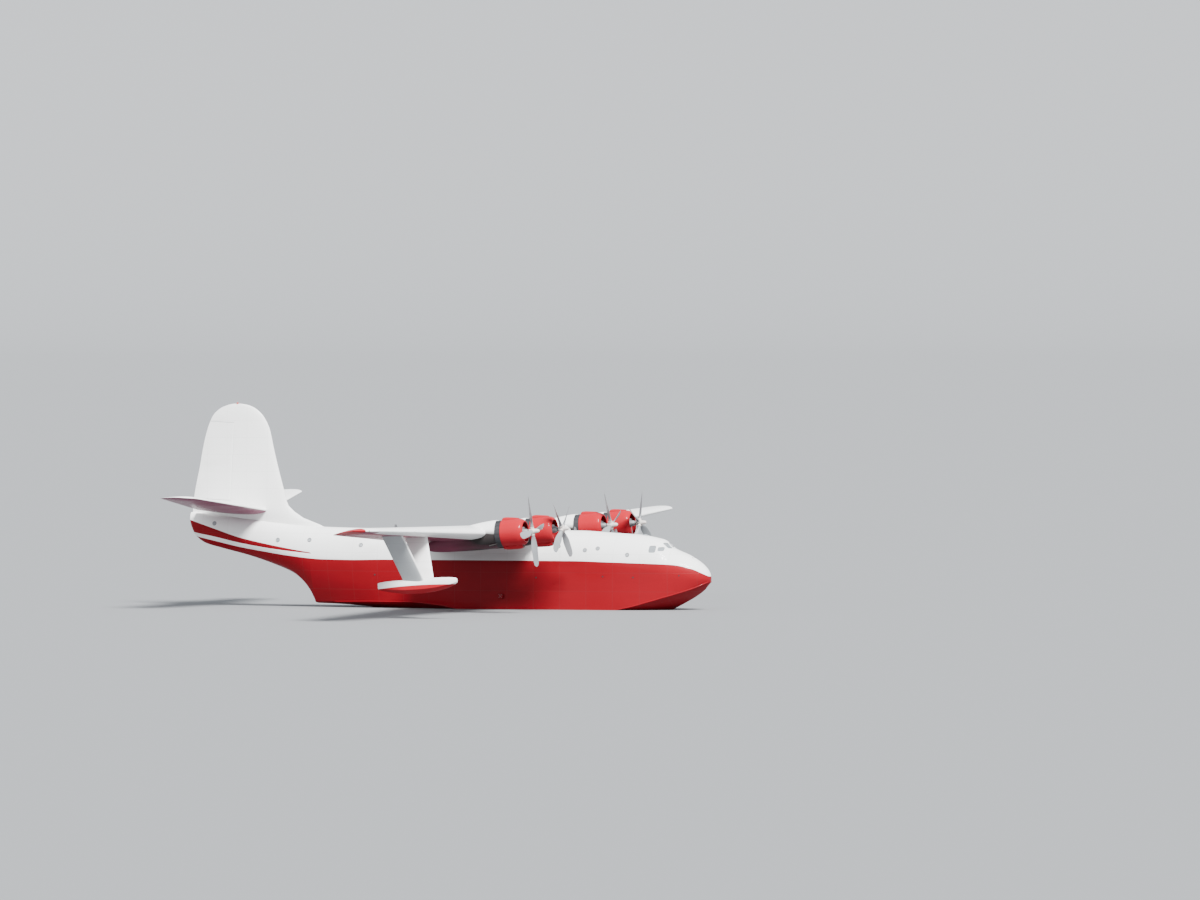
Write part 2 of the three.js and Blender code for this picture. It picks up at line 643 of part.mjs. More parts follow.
// Stabiliser halves with elevators.
function stabAt(side, out) {
  const t = out / STAB_SEMI_SPAN;
  return {
    nose: [
      atX(STAB_ROOT_LE + (STAB_TIP_LE - STAB_ROOT_LE) * t),
      side * atY(out),
      atZ(STAB_ROOT_Z + (STAB_TIP_Z - STAB_ROOT_Z) * t),
    ],
    chord: real(STAB_ROOT_CHORD + (STAB_TIP_CHORD - STAB_ROOT_CHORD) * t),
    thickness: 0.12 - 0.02 * t,
  };
}
function stabRing(side, out, shrink = 1, grow = 0) {
  const { nose, chord, thickness } = stabAt(side, out);
  const moved = [nose[0] - chord * (1 - shrink) * 0.45, nose[1], nose[2]];
  return foilRing(moved, chord * shrink, thickness, 0, [-1, 0, 0], [0, 0, 1], grow);
}
function stabPoint(side, out, fraction) {
  const { nose, chord } = stabAt(side, out);
  return [nose[0] - chord * fraction, nose[1], nose[2]];
}
let finCut = finSolid.subtract(rudder.cutter);
let rudderPiece = rudder.moving;
for (const [word, side] of [['left', 1], ['right', -1]]) {
  const rings = [stabRing(side, 0.02), stabRing(side, STAB_SEMI_SPAN - 1.0)];
  for (const angle of [30, 55, 75]) {
    const out = STAB_SEMI_SPAN - 1.0 + Math.sin(degrees(angle));
    rings.push(stabRing(side, out, Math.pow(Math.cos(degrees(angle)), 0.7)));
  }
  const whole = loft(rings);
  const halfAt = (out) => {
    const { chord, thickness } = stabAt(side, out);
    return halfThickness(thickness, STAB_HINGE, chord);
  };
  const radiusAt = (out) => {
    const share = out / (STAB_SEMI_SPAN - 1.0);
    return halfAt(0) * (1 - share) + halfAt(STAB_SEMI_SPAN - 1.0) * share;
  };
  const from = stabPoint(side, ELEVATOR_START, STAB_HINGE);
  const to = stabPoint(side, STAB_SEMI_SPAN - 1.0, STAB_HINGE);
  const radii = [radiusAt(ELEVATOR_START), radiusAt(STAB_SEMI_SPAN - 1.0)];
  const elevator = hinged(whole, from, to, radii, real(2.6), real(2), TAIL_SWING);
  keep(`elevator_${word}`, elevator.moving, 'white');
  const grownTail = tailGrown.add(finLoft(0.35));
  const fixed = whole.subtract(elevator.cutter).subtract(grownTail);
  const pieces = fixed.decompose().sort((a, b) => b.volume() - a.volume());
  keep(`stabiliser_${word}`, pieces[0], 'white');
}
const aftGrown = hullBetween(AFT_ROWS, 24, STERN_POST, -clear);
keep('fin', finCut.subtract(tailGrown).subtract(aftGrown), 'white');
keep('rudder', rudderPiece, 'white');

// Stabilising floats on splayed struts. Columns: fraction aft, half beam, keel, chine, deck.
const FLOAT_ROWS = [
  [0.000, 0.07, 0.60, 0.67, 0.84], [0.025, 0.17, 0.49, 0.60, 0.90],
  [0.10, 0.30, 0.32, 0.50, 0.95], [0.25, 0.41, 0.14, 0.38, 0.98],
  [0.45, 0.46, 0.04, 0.32, 0.98], [0.62, 0.45, 0.06, 0.33, 0.97],
  [0.80, 0.37, 0.19, 0.40, 0.95], [0.93, 0.25, 0.33, 0.48, 0.92],
  [1.00, 0.12, 0.43, 0.53, 0.87],
];
function floatSolid(side) {
  const pitch = degrees(4);
  const rings = FLOAT_ROWS.map(([fraction, half, keel, chine, deck]) => {
    const outline = [
      [0.02, keel], [half * 0.55, keel + (chine - keel) * 0.45], [half, chine],
      [half * 0.98, chine + (deck - chine) * 0.45], [half * 0.8, chine + (deck - chine) * 0.8],
      [half * 0.45, deck - (deck - chine) * 0.06],
    ];
    const flat = [
      ...outline.map(([y, z]) => [-y, z]), [0, deck], ...outline.reverse().map(([y, z]) => [y, z]),
    ];
    return flat.map(([y, z]) => {
      const back = fraction * FLOAT_LENGTH;
      const x = -back * Math.cos(pitch) - z * Math.sin(pitch);
      const lift = z * Math.cos(pitch) - back * Math.sin(pitch);
      return [atX(FLOAT_NOSE) + real(x), side * atY(FLOAT_Y) + real(y), atZ(FLOAT_DATUM_Z) + real(lift)];
    });
  });
  return loft(rings);
}
// Strut as a lofted streamline section between a foot and a head point.
function strut(foot, head, chord, thick) {
  const rings = [foot, head].map((point) => foilRing(
    [point[0] + chord / 2, point[1], point[2]], chord, thick / chord, 0, [-1, 0, 0], [0, 1, 0],
  ));
  return loft(rings);
}
for (const [word, side] of [['left', 1], ['right', -1]]) {
  const body = floatSolid(side);
  keep(`float_${word}`, body, 'white');
  for (const [place, splay, ahead] of [['outboard', 1, 0], ['inboard', -1, 0.42]]) {
    const foot = [
      atX(12.60 - ahead), side * atY(FLOAT_Y + splay * 0.2), atZ(3.30),
    ];
    const head = [
      atX(13.68 - ahead), side * atY(FLOAT_Y + splay * 1.75), atZ(6.5),
    ];
    const bar = strut(foot, head, real(1.45), real(0.2)).subtract(wingGrown)
      .subtract(body.translate([0, 0, 0.3])).subtract(body);
    const pieces = bar.decompose().sort((a, b) => b.volume() - a.volume());
    keep(`float_strut_${place}_${word}`, pieces[0], 'white');
  }
}

// Flight deck: hollow shell with cut windows over a cut-down bow.
const cabBlock = box(atX(CAB_AFT), atX(CAB_FORE), -real(3), real(3), atZ(CAB_SILL), atZ(8));
const cabBlockWide = box(
  atX(CAB_AFT) - 0.3, atX(CAB_FORE) + 0.3, -real(3), real(3), atZ(CAB_SILL) - 0.3, atZ(8));
let cabShell = hullFore.intersect(cabBlock);
hullFore = hullFore.subtract(cabBlockWide);
const cabInner = hullBetween(FORE_ROWS, CAB_FORE + CAB_WALL, CAB_AFT - CAB_WALL, CAB_WALL)
  .intersect(box(atX(CAB_AFT), atX(CAB_FORE), -real(3), real(3), atZ(CAB_SILL) - 5, atZ(8)));
cabShell = cabShell.subtract(cabInner);
const windowCuts = [];
for (const side of [1, -1]) {
  windowCuts.push(box(
    atX(3.12), atX(2.2), Math.min(side * real(0.07), side * real(0.72)),
    Math.max(side * real(0.07), side * real(0.72)), atZ(4.98), atZ(5.36)));
  windowCuts.push(box(
    atX(3.16), atX(2.78), Math.min(side * real(0.8), side * real(3)),
    Math.max(side * real(0.8), side * real(3)), atZ(4.84), atZ(5.10)));
  windowCuts.push(box(
    atX(3.72), atX(3.27), Math.min(side * real(0.8), side * real(3)),
    Math.max(side * real(0.8), side * real(3)), atZ(4.74), atZ(5.19)));
}
for (const cut of windowCuts) {
  cabShell = cabShell.subtract(cut);
}
keep('flight_deck_shell', cabShell, 'white');
const paneFore = CAB_FORE + CAB_WALL + 0.02;
const bandOuter = hullBetween(FORE_ROWS, paneFore - 0.0186, 4.5, CAB_WALL + 0.0009);
const bandInner = hullBetween(FORE_ROWS, paneFore - 0.1, 4.6, CAB_WALL + 0.02);
const bandBlock = box(atX(4.45), atX(paneFore - 0.0186), -real(3), real(3), atZ(4.66), atZ(5.44));
const band = bandOuter.intersect(bandBlock).subtract(bandInner);
const bandPieces = band.decompose().sort((a, b) => b.volume() - a.volume());
keep('flight_deck_glazing', bandPieces[0], 'glass');

const floorZ = atZ(CAB_SILL) + 0.1;
const panel = box(atX(3.2), atX(3.05), -real(1.1), real(1.1), floorZ, atZ(4.62));
keep('instrument_panel', panel, 'dark');
const pedestal = box(atX(4.1), atX(3.25), -real(0.16), real(0.16), floorZ, atZ(4.4));
keep('throttle_pedestal', pedestal, 'dark');
for (const [word, side] of [['left', 1], ['right', -1]]) {
  const y = side * real(0.62);
  const seat = box(atX(4.55), atX(4.0), y - real(0.24), y + real(0.24), floorZ, atZ(4.36))
    .add(box(atX(4.62), atX(4.48), y - real(0.24), y + real(0.24), floorZ, atZ(5.0)));
  keep(`seat_${word}`, seat, 'leather');
  const column = rod([atX(3.62), y, floorZ - 20], [atX(3.52), y, atZ(4.56)], real(0.03), real(0.03), 8)
    .intersect(box(atX(4), atX(3), y - real(0.3), y + real(0.3), floorZ, atZ(5)))
    .add(box(atX(3.56), atX(3.48), y - real(0.19), y + real(0.19), atZ(4.52), atZ(4.6)));
  keep(`control_column_${word}`, column, 'dark');
}

// Beaching gear pads on the hull sides and the bow mooring post.
for (const [word, side] of [['left', 1], ['right', -1]]) {
  const y0 = side * real(1.9);
  const y1 = side * real(2.2);
  const pad = rod([atX(13.6), y0, atZ(1.9)], [atX(13.6), y1, atZ(1.9)], real(0.16), real(0.16), 20);
  const grownFore = hullBetween(FORE_ROWS, 9, STEP_STATION, -clear);
  keep(`beaching_pad_${word}`, pad.subtract(grownFore), 'metal');
}
keep('hull_forebody', hullFore, 'red');
keep('hull_afterbody', hullAft, 'red');
keep('tail_cone', hullTail, 'white');

object.add(...nodes);
export default object;
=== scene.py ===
"""Dresses a half-size four-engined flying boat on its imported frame."""

from __future__ import annotations

import logging
import math
from dataclasses import dataclass, field
from enum import Enum
from functools import partial
from typing import Callable, Sequence, Union

import bmesh
import bpy
import numpy as np
from mathutils import Matrix, Vector


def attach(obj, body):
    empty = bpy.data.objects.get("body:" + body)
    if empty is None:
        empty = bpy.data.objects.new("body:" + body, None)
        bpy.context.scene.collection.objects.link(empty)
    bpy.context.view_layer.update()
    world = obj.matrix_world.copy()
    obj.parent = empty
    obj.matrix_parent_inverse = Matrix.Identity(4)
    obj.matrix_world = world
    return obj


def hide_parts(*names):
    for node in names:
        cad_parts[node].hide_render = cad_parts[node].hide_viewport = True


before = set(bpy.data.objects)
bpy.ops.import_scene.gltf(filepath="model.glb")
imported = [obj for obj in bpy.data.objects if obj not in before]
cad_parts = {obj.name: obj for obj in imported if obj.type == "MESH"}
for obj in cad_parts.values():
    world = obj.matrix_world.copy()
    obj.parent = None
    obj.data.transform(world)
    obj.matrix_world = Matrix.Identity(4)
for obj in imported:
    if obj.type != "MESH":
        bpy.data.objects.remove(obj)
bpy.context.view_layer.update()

LOG = logging.getLogger("flying_boat")

SCALE = 0.5
# Full-size metres: stations of the main step and of the stern post, length of the tail
# behind the post, height of the waterline over the keel, engines from the centreline.
STEP_STATION = 15.0
POST_STATION = 27.06
TAIL_LENGTH = 8.68
WATERLINE = 1.03
INNER_OUT, OUTER_OUT = 4.85, 10.6
# Model metres between the nose of a control surface and its cove.
COVE_GAP = 0.008
ROOT_BODY = "airframe"
SIDES = (("left", 1), ("right", -1))

Array = np.ndarray
Rule = Callable[[Array], Array]
Material = bpy.types.Material
Socket = bpy.types.NodeSocket
Feed = Union[Socket, float, Sequence[float]]


def place(station: Array, side: Array, height: Array) -> Array:
    """Turns full-size station, side and height in metres into model points.

    Args:
        station: Distance aft of the bow.
        side: Distance to port of the centreline.
        height: Height over the keel at the main step.

    Returns:
        Points in the model frame, last axis X, Y, Z.
    """
    station, side, height = np.broadcast_arrays(station, side, height)
    return np.stack([(STEP_STATION - station) * SCALE, side * SCALE,
                     (height - WATERLINE) * SCALE], -1)


def station_of(places: Array) -> Array:
    """Full-size stations of model points."""
    return STEP_STATION - places[:, 0] / SCALE


def eased(count: int) -> Array:
    """Shares from zero to one, closer together at both ends: half of one less a cosine."""
    return 0.5 - 0.5 * np.cos(np.linspace(0, np.pi, count))


def tip_shares(count: int) -> Array:
    """Shares out along a rounded tip, by a sine that stops just short of its end."""
    return np.sin(np.radians(np.linspace(0, 89.6, count)))


def round_angles(count: int) -> Array:
    """Evenly spaced angles of the full circle, the last one left out."""
    return np.linspace(0, 2 * np.pi, count, endpoint=False)


def turn_of(degrees: float) -> tuple[float, float]:
    """Cosine and sine of an angle in degrees."""
    return math.cos(math.radians(degrees)), math.sin(math.radians(degrees))


def squared(angle: Array, power: float) -> tuple[Array, Array]:
    """Superellipse: cosine and sine, the size of each raised to a power."""
    cosine, sine = np.cos(angle), np.sin(angle)
    return (np.sign(cosine) * np.abs(cosine) ** power,
            np.sign(sine) * np.abs(sine) ** power)


def spoke(along: Array | float, radius: Array | float, angle: Array | float) -> Array:
    """Points about X: the place along, then radius times cosine and times sine."""
    along, radius, angle = np.broadcast_arrays(along, radius, angle)
    return np.stack([along, radius * np.cos(angle), radius * np.sin(angle)], -1)


def directions(turn: float) -> tuple[Array, Array]:
    """Unit directions about X: out at an angle, and a quarter turn on from there."""
    return spoke(0.0, 1.0, turn), spoke(0.0, 1.0, turn + np.pi / 2)


def mirrored(half: Array) -> Array:
    """Closes half outlines of side and height into rings, keel first, round by port."""
    return np.concatenate([half, half[:, -2::-1] * np.array([-1.0, 1.0])], 1)


def linked(name: str, data: bpy.types.ID) -> bpy.types.Object:
    """Makes an object of a mesh, lamp or camera and links it to the scene."""
    thing = bpy.data.objects.new(name, data)
    bpy.context.scene.collection.objects.link(thing)
    return thing


def smooth_table(rows: Sequence[Sequence[float]], at: Array) -> Array:
    """Reads every column of a table at new places along its first column.

    Formula: monotone cubic Hermite segments, with each slope the harmonic mean of
    the two neighbouring secants, or zero where they change sign.

    Args:
        rows: Table rows, the first column rising.
        at: Places to read.

    Returns:
        One row of the other columns for each place.
    """
    table = np.asarray(rows, float)
    x, y = table[:, 0], table[:, 1:]
    step = np.diff(x)[:, None]
    secant = np.diff(y, axis=0) / step
    slope = np.zeros_like(y)
    product = secant[1:] * secant[:-1]
    total = secant[1:] + secant[:-1]
    safe = np.where(np.abs(total) < 1e-12, 1.0, total)
    slope[1:-1] = np.where(product > 0, 2 * product / safe, 0.0)
    slope[0], slope[-1] = secant[0], secant[-1]
    at = np.clip(np.asarray(at, float), x[0], x[-1])
    k = np.clip(np.searchsorted(x, at, side="right") - 1, 0, len(x) - 2)
    h = step[k]
    t = ((at - x[k]) / h[:, 0])[:, None]
    return ((2 * t**3 - 3 * t**2 + 1) * y[k] + (t**3 - 2 * t**2 + t) * h * slope[k]
            + (3 * t**2 - 2 * t**3) * y[k + 1] + (t**3 - t**2) * h * slope[k + 1])


@dataclass
class Skin:
    """Gathers grids of points into one mesh.

    Attributes:
        points: Vertex arrays gathered so far.
        faces: Corner index arrays, four columns, a triangle repeating its last corner.
        slots: Material slot of each face.
        count: Number of vertices so far.
    """

    points: list[Array] = field(default_factory=list)
    faces: list[Array] = field(default_factory=list)
    slots: list[Array] = field(default_factory=list)
    count: int = 0

    def grid(self, grid: Array | list[Array], caps: bool = True, slot: int = 0) -> Skin:
        """Adds a grid of closed rings, each joined to the next.

        Args:
            grid: Points of shape rings, corners, three.
            caps: Whether the end rings are filled with a fan about their middle.
            slot: Material slot of the faces.

        Returns:
            This gatherer.
        """
        grid = np.asarray(grid)
        rings, corners = grid.shape[:2]
        base = self.count + np.arange(rings * corners).reshape(rings, corners)
        after = np.roll(base, -1, 1)
        quads = np.stack([base[:-1], after[:-1], after[1:], base[1:]], -1).reshape(-1, 4)
        self.points.append(grid.reshape(-1, 3))
        self.count += rings * corners
        parts = [quads]
        if caps:
            for ring, first, second in ((0, after, base), (-1, base, after)):
                self.points.append(grid[ring].mean(0)[None])
                hub = np.full(corners, self.count)
                self.count += 1
                parts.append(np.stack([first[ring], second[ring], hub, hub], -1))
        faces = np.concatenate(parts)
        self.faces.append(faces)
        self.slots.append(np.full(len(faces), slot))
        return self

    def bare(self, name: str) -> bpy.types.Object:
        """Makes a linked object, its doubles merged and its faces outwards.

        Args:
            name: Name of the object and its mesh.

        Returns:
            The object, without finish or body.
        """
        faces, points = np.concatenate(self.faces), np.concatenate(self.points)
        triangle = faces[:, 2] == faces[:, 3]
        keep = np.ones_like(faces, bool)
        keep[triangle, 3] = False
        corners = faces[keep]
        starts = np.cumsum(np.where(triangle, 3, 4))[:-1]
        mesh = bpy.data.meshes.new(name)
        mesh.vertices.add(len(points))
        mesh.vertices.foreach_set("co", points.astype(np.float32).ravel())
        mesh.loops.add(len(corners))
        mesh.loops.foreach_set("vertex_index", corners.astype(np.int32))
        mesh.polygons.add(len(faces))
        mesh.polygons.foreach_set("loop_start", np.append(0, starts).astype(np.int32))
        mesh.polygons.foreach_set("material_index",
                                  np.concatenate(self.slots).astype(np.int32))
        mesh.update(calc_edges=True)
        mesh.validate()
        work = bmesh.new()
        work.from_mesh(mesh)
        bmesh.ops.remove_doubles(work, verts=work.verts, dist=2e-5)
        bmesh.ops.dissolve_degenerate(work, edges=work.edges, dist=1e-6)
        bmesh.ops.recalc_face_normals(work, faces=work.faces)
        work.to_mesh(mesh)
        work.free()
        return linked(name, mesh)

    def build(self, name: str, materials: Sequence[Material], body: str = ROOT_BODY,
              replaces: Sequence[str] = (), slot: str | None = None, angle: float = 32.0,
              marks: dict[str, Rule] | None = None,
              carve: Sequence[bpy.types.Object] = ()) -> bpy.types.Object:
        """Makes the finished piece: mesh, cuts, materials, marks, body and nodes.

        Args:
            name: Object name.
            materials: Materials in slot order.
            body: Body of the frame that the piece rides on.
            replaces: Nodes that the piece stands for.
            slot: Not used.
            angle: Edges sharper than this many degrees stay sharp.
            marks: Point attributes worked out from the vertex places.
            carve: Closed objects to cut away; they are removed afterwards.

        Returns:
            The finished object.
        """
        thing = self.bare(name)
        for material in materials:
            thing.data.materials.append(material)
        for tool in carve:
            cut_away(thing, tool)
        mesh = thing.data
        mesh.shade_smooth()
        mesh.set_sharp_from_angle(angle=math.radians(angle))
        places = np.empty(len(mesh.vertices) * 3, np.float32)
        mesh.vertices.foreach_get("co", places)
        for label, rule in (marks or {}).items():
            values = mesh.attributes.new(label, "FLOAT", "POINT")
            values.data.foreach_set("value", rule(places.reshape(-1, 3)).astype(np.float32))
        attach(thing, body)
        if replaces:
            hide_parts(*replaces)
        LOG.info("piece %s: %d faces", name, len(mesh.polygons))
        return thing


def cut_away(thing: bpy.types.Object, tool: bpy.types.Object) -> None:
    """Cuts a closed tool out of a piece and removes the tool.

    Args:
        thing: The piece, whose mesh is replaced.
        tool: Closed object.
    """
    change = thing.modifiers.new("cut", "BOOLEAN")
    change.operation = "DIFFERENCE"
    change.solver = "MANIFOLD"
    change.object = tool
    bpy.context.view_layer.update()
    graph = bpy.context.evaluated_depsgraph_get()
    done = bpy.data.meshes.new_from_object(thing.evaluated_get(graph))
    thing.modifiers.remove(change)
    old = thing.data
    thing.data = done
    done.name = thing.name
    bpy.data.meshes.remove(old)
    bpy.data.objects.remove(tool)


def tube(path: Array, radius: Array | float, sides: int = 12, flat: float = 1.0) -> Array:
    """Carries a circle along a path.

    Formula: at each path point the circle lies in the plane across the tangent,
    on a frame made from the tangent and a fixed helper direction.

    Args:
        path: Path points.
        radius: Radius, one or for each point.
        sides: Corners of the circle.
        flat: Second radius over the first.

    Returns:
        Grid of rings.
    """
    path = np.asarray(path, float)
    tangent = np.gradient(path, axis=0)
    tangent /= np.linalg.norm(tangent, axis=1, keepdims=True)
    helper = np.where(np.abs(tangent[:, 2:3]) < 0.9, [[0.0, 0.0, 1.0]], [[1.0, 0.0, 0.0]])
    first = np.cross(tangent, helper)
    first /= np.linalg.norm(first, axis=1, keepdims=True)
    second = np.cross(tangent, first)
    angle = round_angles(sides)[None, :, None]
    wide = np.broadcast_to(np.asarray(radius, float), (len(path),))[:, None, None]
    return (path[:, None] + wide * np.cos(angle) * first[:, None]
            + wide * flat * np.sin(angle) * second[:, None])


def turned(profile: Sequence[Sequence[float]], sides: int = 48) -> Array:
    """Turns rows of place along X and radius about X, by cosine and sine of the angle."""
    rows = np.asarray(profile, float)
    return spoke(rows[:, :1], rows[:, 1:], round_angles(sides))


def upright(grid: Array, spot: Array) -> Array:
    """Stands a turned form up, its X along Z, at a spot."""
    return grid[..., [1, 2, 0]] + spot


def sideways_on(grid: Array, side: int, spot: Array) -> Array:
    """Lays a turned form with its X out to one side, at a spot."""
    return grid[..., [1, 0, 2]] * np.array([1, side, 1]) + spot


def block(corner: Sequence[float], other: Sequence[float], round_off: float) -> Array:
    """Grid of a box with rounded edges along X.

    Formula: rings of a superellipse in Y and Z, shrunk at both ends along X.

    Args:
        corner: Station, side and height of one corner, full size.
        other: The same of the opposite corner.
        round_off: Edge rounding in model metres.

    Returns:
        Grid of rings.
    """
    first, second = place(*corner), place(*other)
    low, high = np.minimum(first, second), np.maximum(first, second)
    middle, half = (low + high) / 2, (high - low) / 2
    shape_y, shape_z = squared(round_angles(28) + np.pi / 28, 0.25)
    slope = np.radians(np.linspace(0, 90, 5))[:, None]
    reach = half[0] - round_off + round_off * np.cos(slope)
    inward = round_off - round_off * np.sin(slope)
    along = np.concatenate([-reach, reach[::-1]])
    inward = np.concatenate([inward, inward[::-1]])
    return np.stack([middle[0] + along + 0 * shape_y,
                     middle[1] + (half[1] - inward) * shape_y,
                     middle[2] + (half[2] - inward) * shape_z], -1)


@dataclass(frozen=True)
class PhotoCamera:
    """Camera fitted to the photograph: a long lens far off the starboard bow.

    Attributes:
        azimuth: Degrees round from the starboard beam towards the bow.
        elevation: Degrees above the horizon.
        distance: Distance to the aimed point in metres.
        lens: Focal length in millimetres on a 36 mm sensor.
        aim: Point of the model on the lens axis before the picture's shift.
        shift: Metres to the right and up by which the camera is shifted.
        roll: Roll in degrees.
    """

    azimuth: float = 18.9837
    elevation: float = 1.1816
    distance: float = 425.0
    lens: float = 393.2
    aim: tuple[float, float, float] = (0.0, 0.0, 1.0)
    shift: tuple[float, float] = (3.539, 4.119)
    roll: float = -0.15

    def build(self) -> None:
        """Makes the camera and sets it as the scene's camera."""
        (turn_c, turn_s), (lift_c, lift_s) = turn_of(self.azimuth), turn_of(self.elevation)
        back = Vector((turn_s * lift_c, -turn_c * lift_c, lift_s))
        right = Vector((turn_c, turn_s, 0.0))
        up = back.cross(right)
        data = bpy.data.cameras.new("photo_camera")
        data.lens, data.sensor_width = self.lens, 36.0
        data.clip_start, data.clip_end = 20.0, 3000.0
        thing = linked("photo_camera", data)
        cosine, sine = turn_of(self.roll)
        tilted = right * cosine + up * sine
        level = back.cross(tilted)
        spot = Vector(self.aim) + back * self.distance
        spot += right * self.shift[0] + up * self.shift[1]
        turned_to = Matrix((tilted, level, back)).transposed().to_4x4()
        thing.matrix_world = Matrix.Translation(spot) @ turned_to
        bpy.context.scene.camera = thing


@dataclass(frozen=True)
class Studio:
    """Plain pale floor at the waterline, its far rim curved up, with soft light.

    Attributes:
        radius: Radius of the flat floor in metres, well beyond the camera's distance.
        bend: Radius of the arc by which the rim rises.
        rise: Degrees of that arc.
    """

    radius: float = 620.0
    bend: float = 120.0
    rise: float = 65.0

    def floor(self) -> None:
        """Turns the floor's profile about the upright axis.

        Formula: radius and height run flat to the rim, then follow an arc; each is
        turned by sine and cosine round the full circle.
        """
        arc = np.radians(np.linspace(0, self.rise, 22))
        out = np.concatenate([[0.0, 5.0, 30.0, 150.0], self.radius + self.bend * np.sin(arc)])
        height = np.concatenate([np.zeros(4), self.bend * (1 - np.cos(arc))])
        grid = spoke(height[:, None], out[:, None], round_angles(96))
        thing = Skin().grid(grid[..., [1, 2, 0]], caps=False).bare("studio_floor")
        net = Net("studio_paper")
        soft = net.ramp(net.noise(0.02, 2.0), 0.3, 0.7, 0.0, 0.04)
        thing.data.materials.append(net.finish(
            net.mix(soft, rgba(0.190, 0.196, 0.202), rgba(0.172, 0.18, 0.187)), 0.95))
        thing.data.shade_smooth()

    def lamps(self) -> None:
        """Adds the far lamps: name, direction to the lamp, width in degrees, strength."""
        for name, spot, spread, power in (
                ("key_lamp", (0.75, -0.80, 1.25), 20.0, 13.0),
                ("fill_lamp", (-0.5, -0.8, 0.35), 60.0, 1.0)):
            data = bpy.data.lights.new(name, "SUN")
            data.angle, data.energy = math.radians(spread), power
            thing = linked(name, data)
            thing.rotation_mode = "QUATERNION"
            thing.rotation_quaternion = Vector(spot).to_track_quat("Z", "Y")

    def build(self) -> None:
        """Builds the floor, the soft lamps and the even surround."""
        self.floor()
        self.lamps()
        world = bpy.data.worlds.new("studio_surround")
        bpy.context.scene.world = world
        world.use_nodes = True
        sky = world.node_tree.nodes["Background"]
        sky.inputs["Color"].default_value = (0.84, 0.90, 0.98, 1.0)
        sky.inputs["Strength"].default_value = 0.92


@dataclass
class Net:
    """Builds one node material with short calls.

    Attributes:
        name: Material name.
    """

    name: str

    def __post_init__(self) -> None:
        self.material = bpy.data.materials.new(self.name)
        self.material.use_nodes = True
        self.tree = self.material.node_tree
        self.shader = self.tree.nodes["Principled BSDF"]
        self.where = self.add("ShaderNodeTexCoord").outputs["Object"]

    def add(self, kind: str, inputs: dict[str | int, Feed] | None = None,
            **settings: object) -> bpy.types.Node:
        """Adds a node.

        Args:
            kind: Node type.
            inputs: Value or socket for each input, by its name or number.
            settings: Properties of the node.

        Returns:
            The node.
        """
        node = self.tree.nodes.new(kind)
        for key, value in settings.items():
            setattr(node, key, value)
        for key, value in (inputs or {}).items():
            self.feed(node.inputs[key], value)
        return node

    def feed(self, socket: Socket, value: Feed) -> None:
        """Links a socket to an input, or sets a plain value on it."""
        if isinstance(value, Socket):
            self.tree.links.new(value, socket)
        else:
            socket.default_value = value

    def math(self, operation: str, first: Feed, second: Feed = 0.0,
             clamp: bool = False) -> Socket:
        """Adds a math node and returns its result."""
        return self.add("ShaderNodeMath", {0: first, 1: second}, operation=operation,
                        use_clamp=clamp).outputs[0]

    def ramp(self, value: Feed, low: float, high: float, start: float = 0.0,
             end: float = 1.0) -> Socket:
        """Maps a value from low..high to start..end with smooth ends."""
        return self.add("ShaderNodeMapRange", {
            "Value": value, "From Min": low, "From Max": high, "To Min": start,
            "To Max": end}, interpolation_type="SMOOTHSTEP").outputs[0]

    def mark(self, label: str) -> Socket:
        """Reads a float attribute of the mesh."""
        return self.add("ShaderNodeAttribute", attribute_name=label).outputs["Fac"]

    def mix(self, share: Feed, first: Feed, second: Feed, kind: str = "MIX") -> Socket:
        """Mixes two colours."""
        return self.add("ShaderNodeMix", {0: share, 6: first, 7: second},
                        data_type="RGBA", blend_type=kind).outputs[2]

    def noise(self, scale: float, detail: float, stretch: Feed = (1, 1, 1)) -> Socket:
        """Adds a noise, optionally stretched, in object coordinates."""
        spread = self.add("ShaderNodeMapping", {"Vector": self.where, "Scale": stretch})
        return self.add("ShaderNodeTexNoise", {
            "Vector": spread.outputs[0], "Scale": scale, "Detail": detail}).outputs["Fac"]

    def axes(self) -> Sequence[Socket]:
        """Splits object coordinates into X, Y and Z."""
        return self.add("ShaderNodeSeparateXYZ", {0: self.where}).outputs

    def line(self, along: Feed, spacing: float, width: float) -> Socket:
        """One on evenly spaced lines across a coordinate, falling to zero at the width."""
        return self.ramp(self.math("PINGPONG", along, spacing / 2), 0.0, width, 1.0, 0.0)

    def bump(self, height: Feed, strength: float, distance: float,
             under: Socket | None = None) -> Socket:
        """Adds a bump node over an optional earlier one."""
        node = self.add("ShaderNodeBump", {
            "Height": height, "Strength": strength, "Distance": distance})
        if under is not None:
            self.feed(node.inputs["Normal"], under)
        return node.outputs[0]

    def finish(self, colour: Feed, roughness: Feed, **extra: Feed) -> Material:
        """Feeds the shader, further inputs by name, and returns the material."""
        inputs = {"Base Color": colour, "Roughness": roughness,
                  **{key.replace("_", " "): value for key, value in extra.items()}}
        for key, value in inputs.items():
            self.feed(self.shader.inputs[key], value)
        return self.material


def rgba(red: float, green: float, blue: float) -> tuple[float, float, float, float]:
    """Colour with full alpha."""
    return (red, green, blue, 1.0)


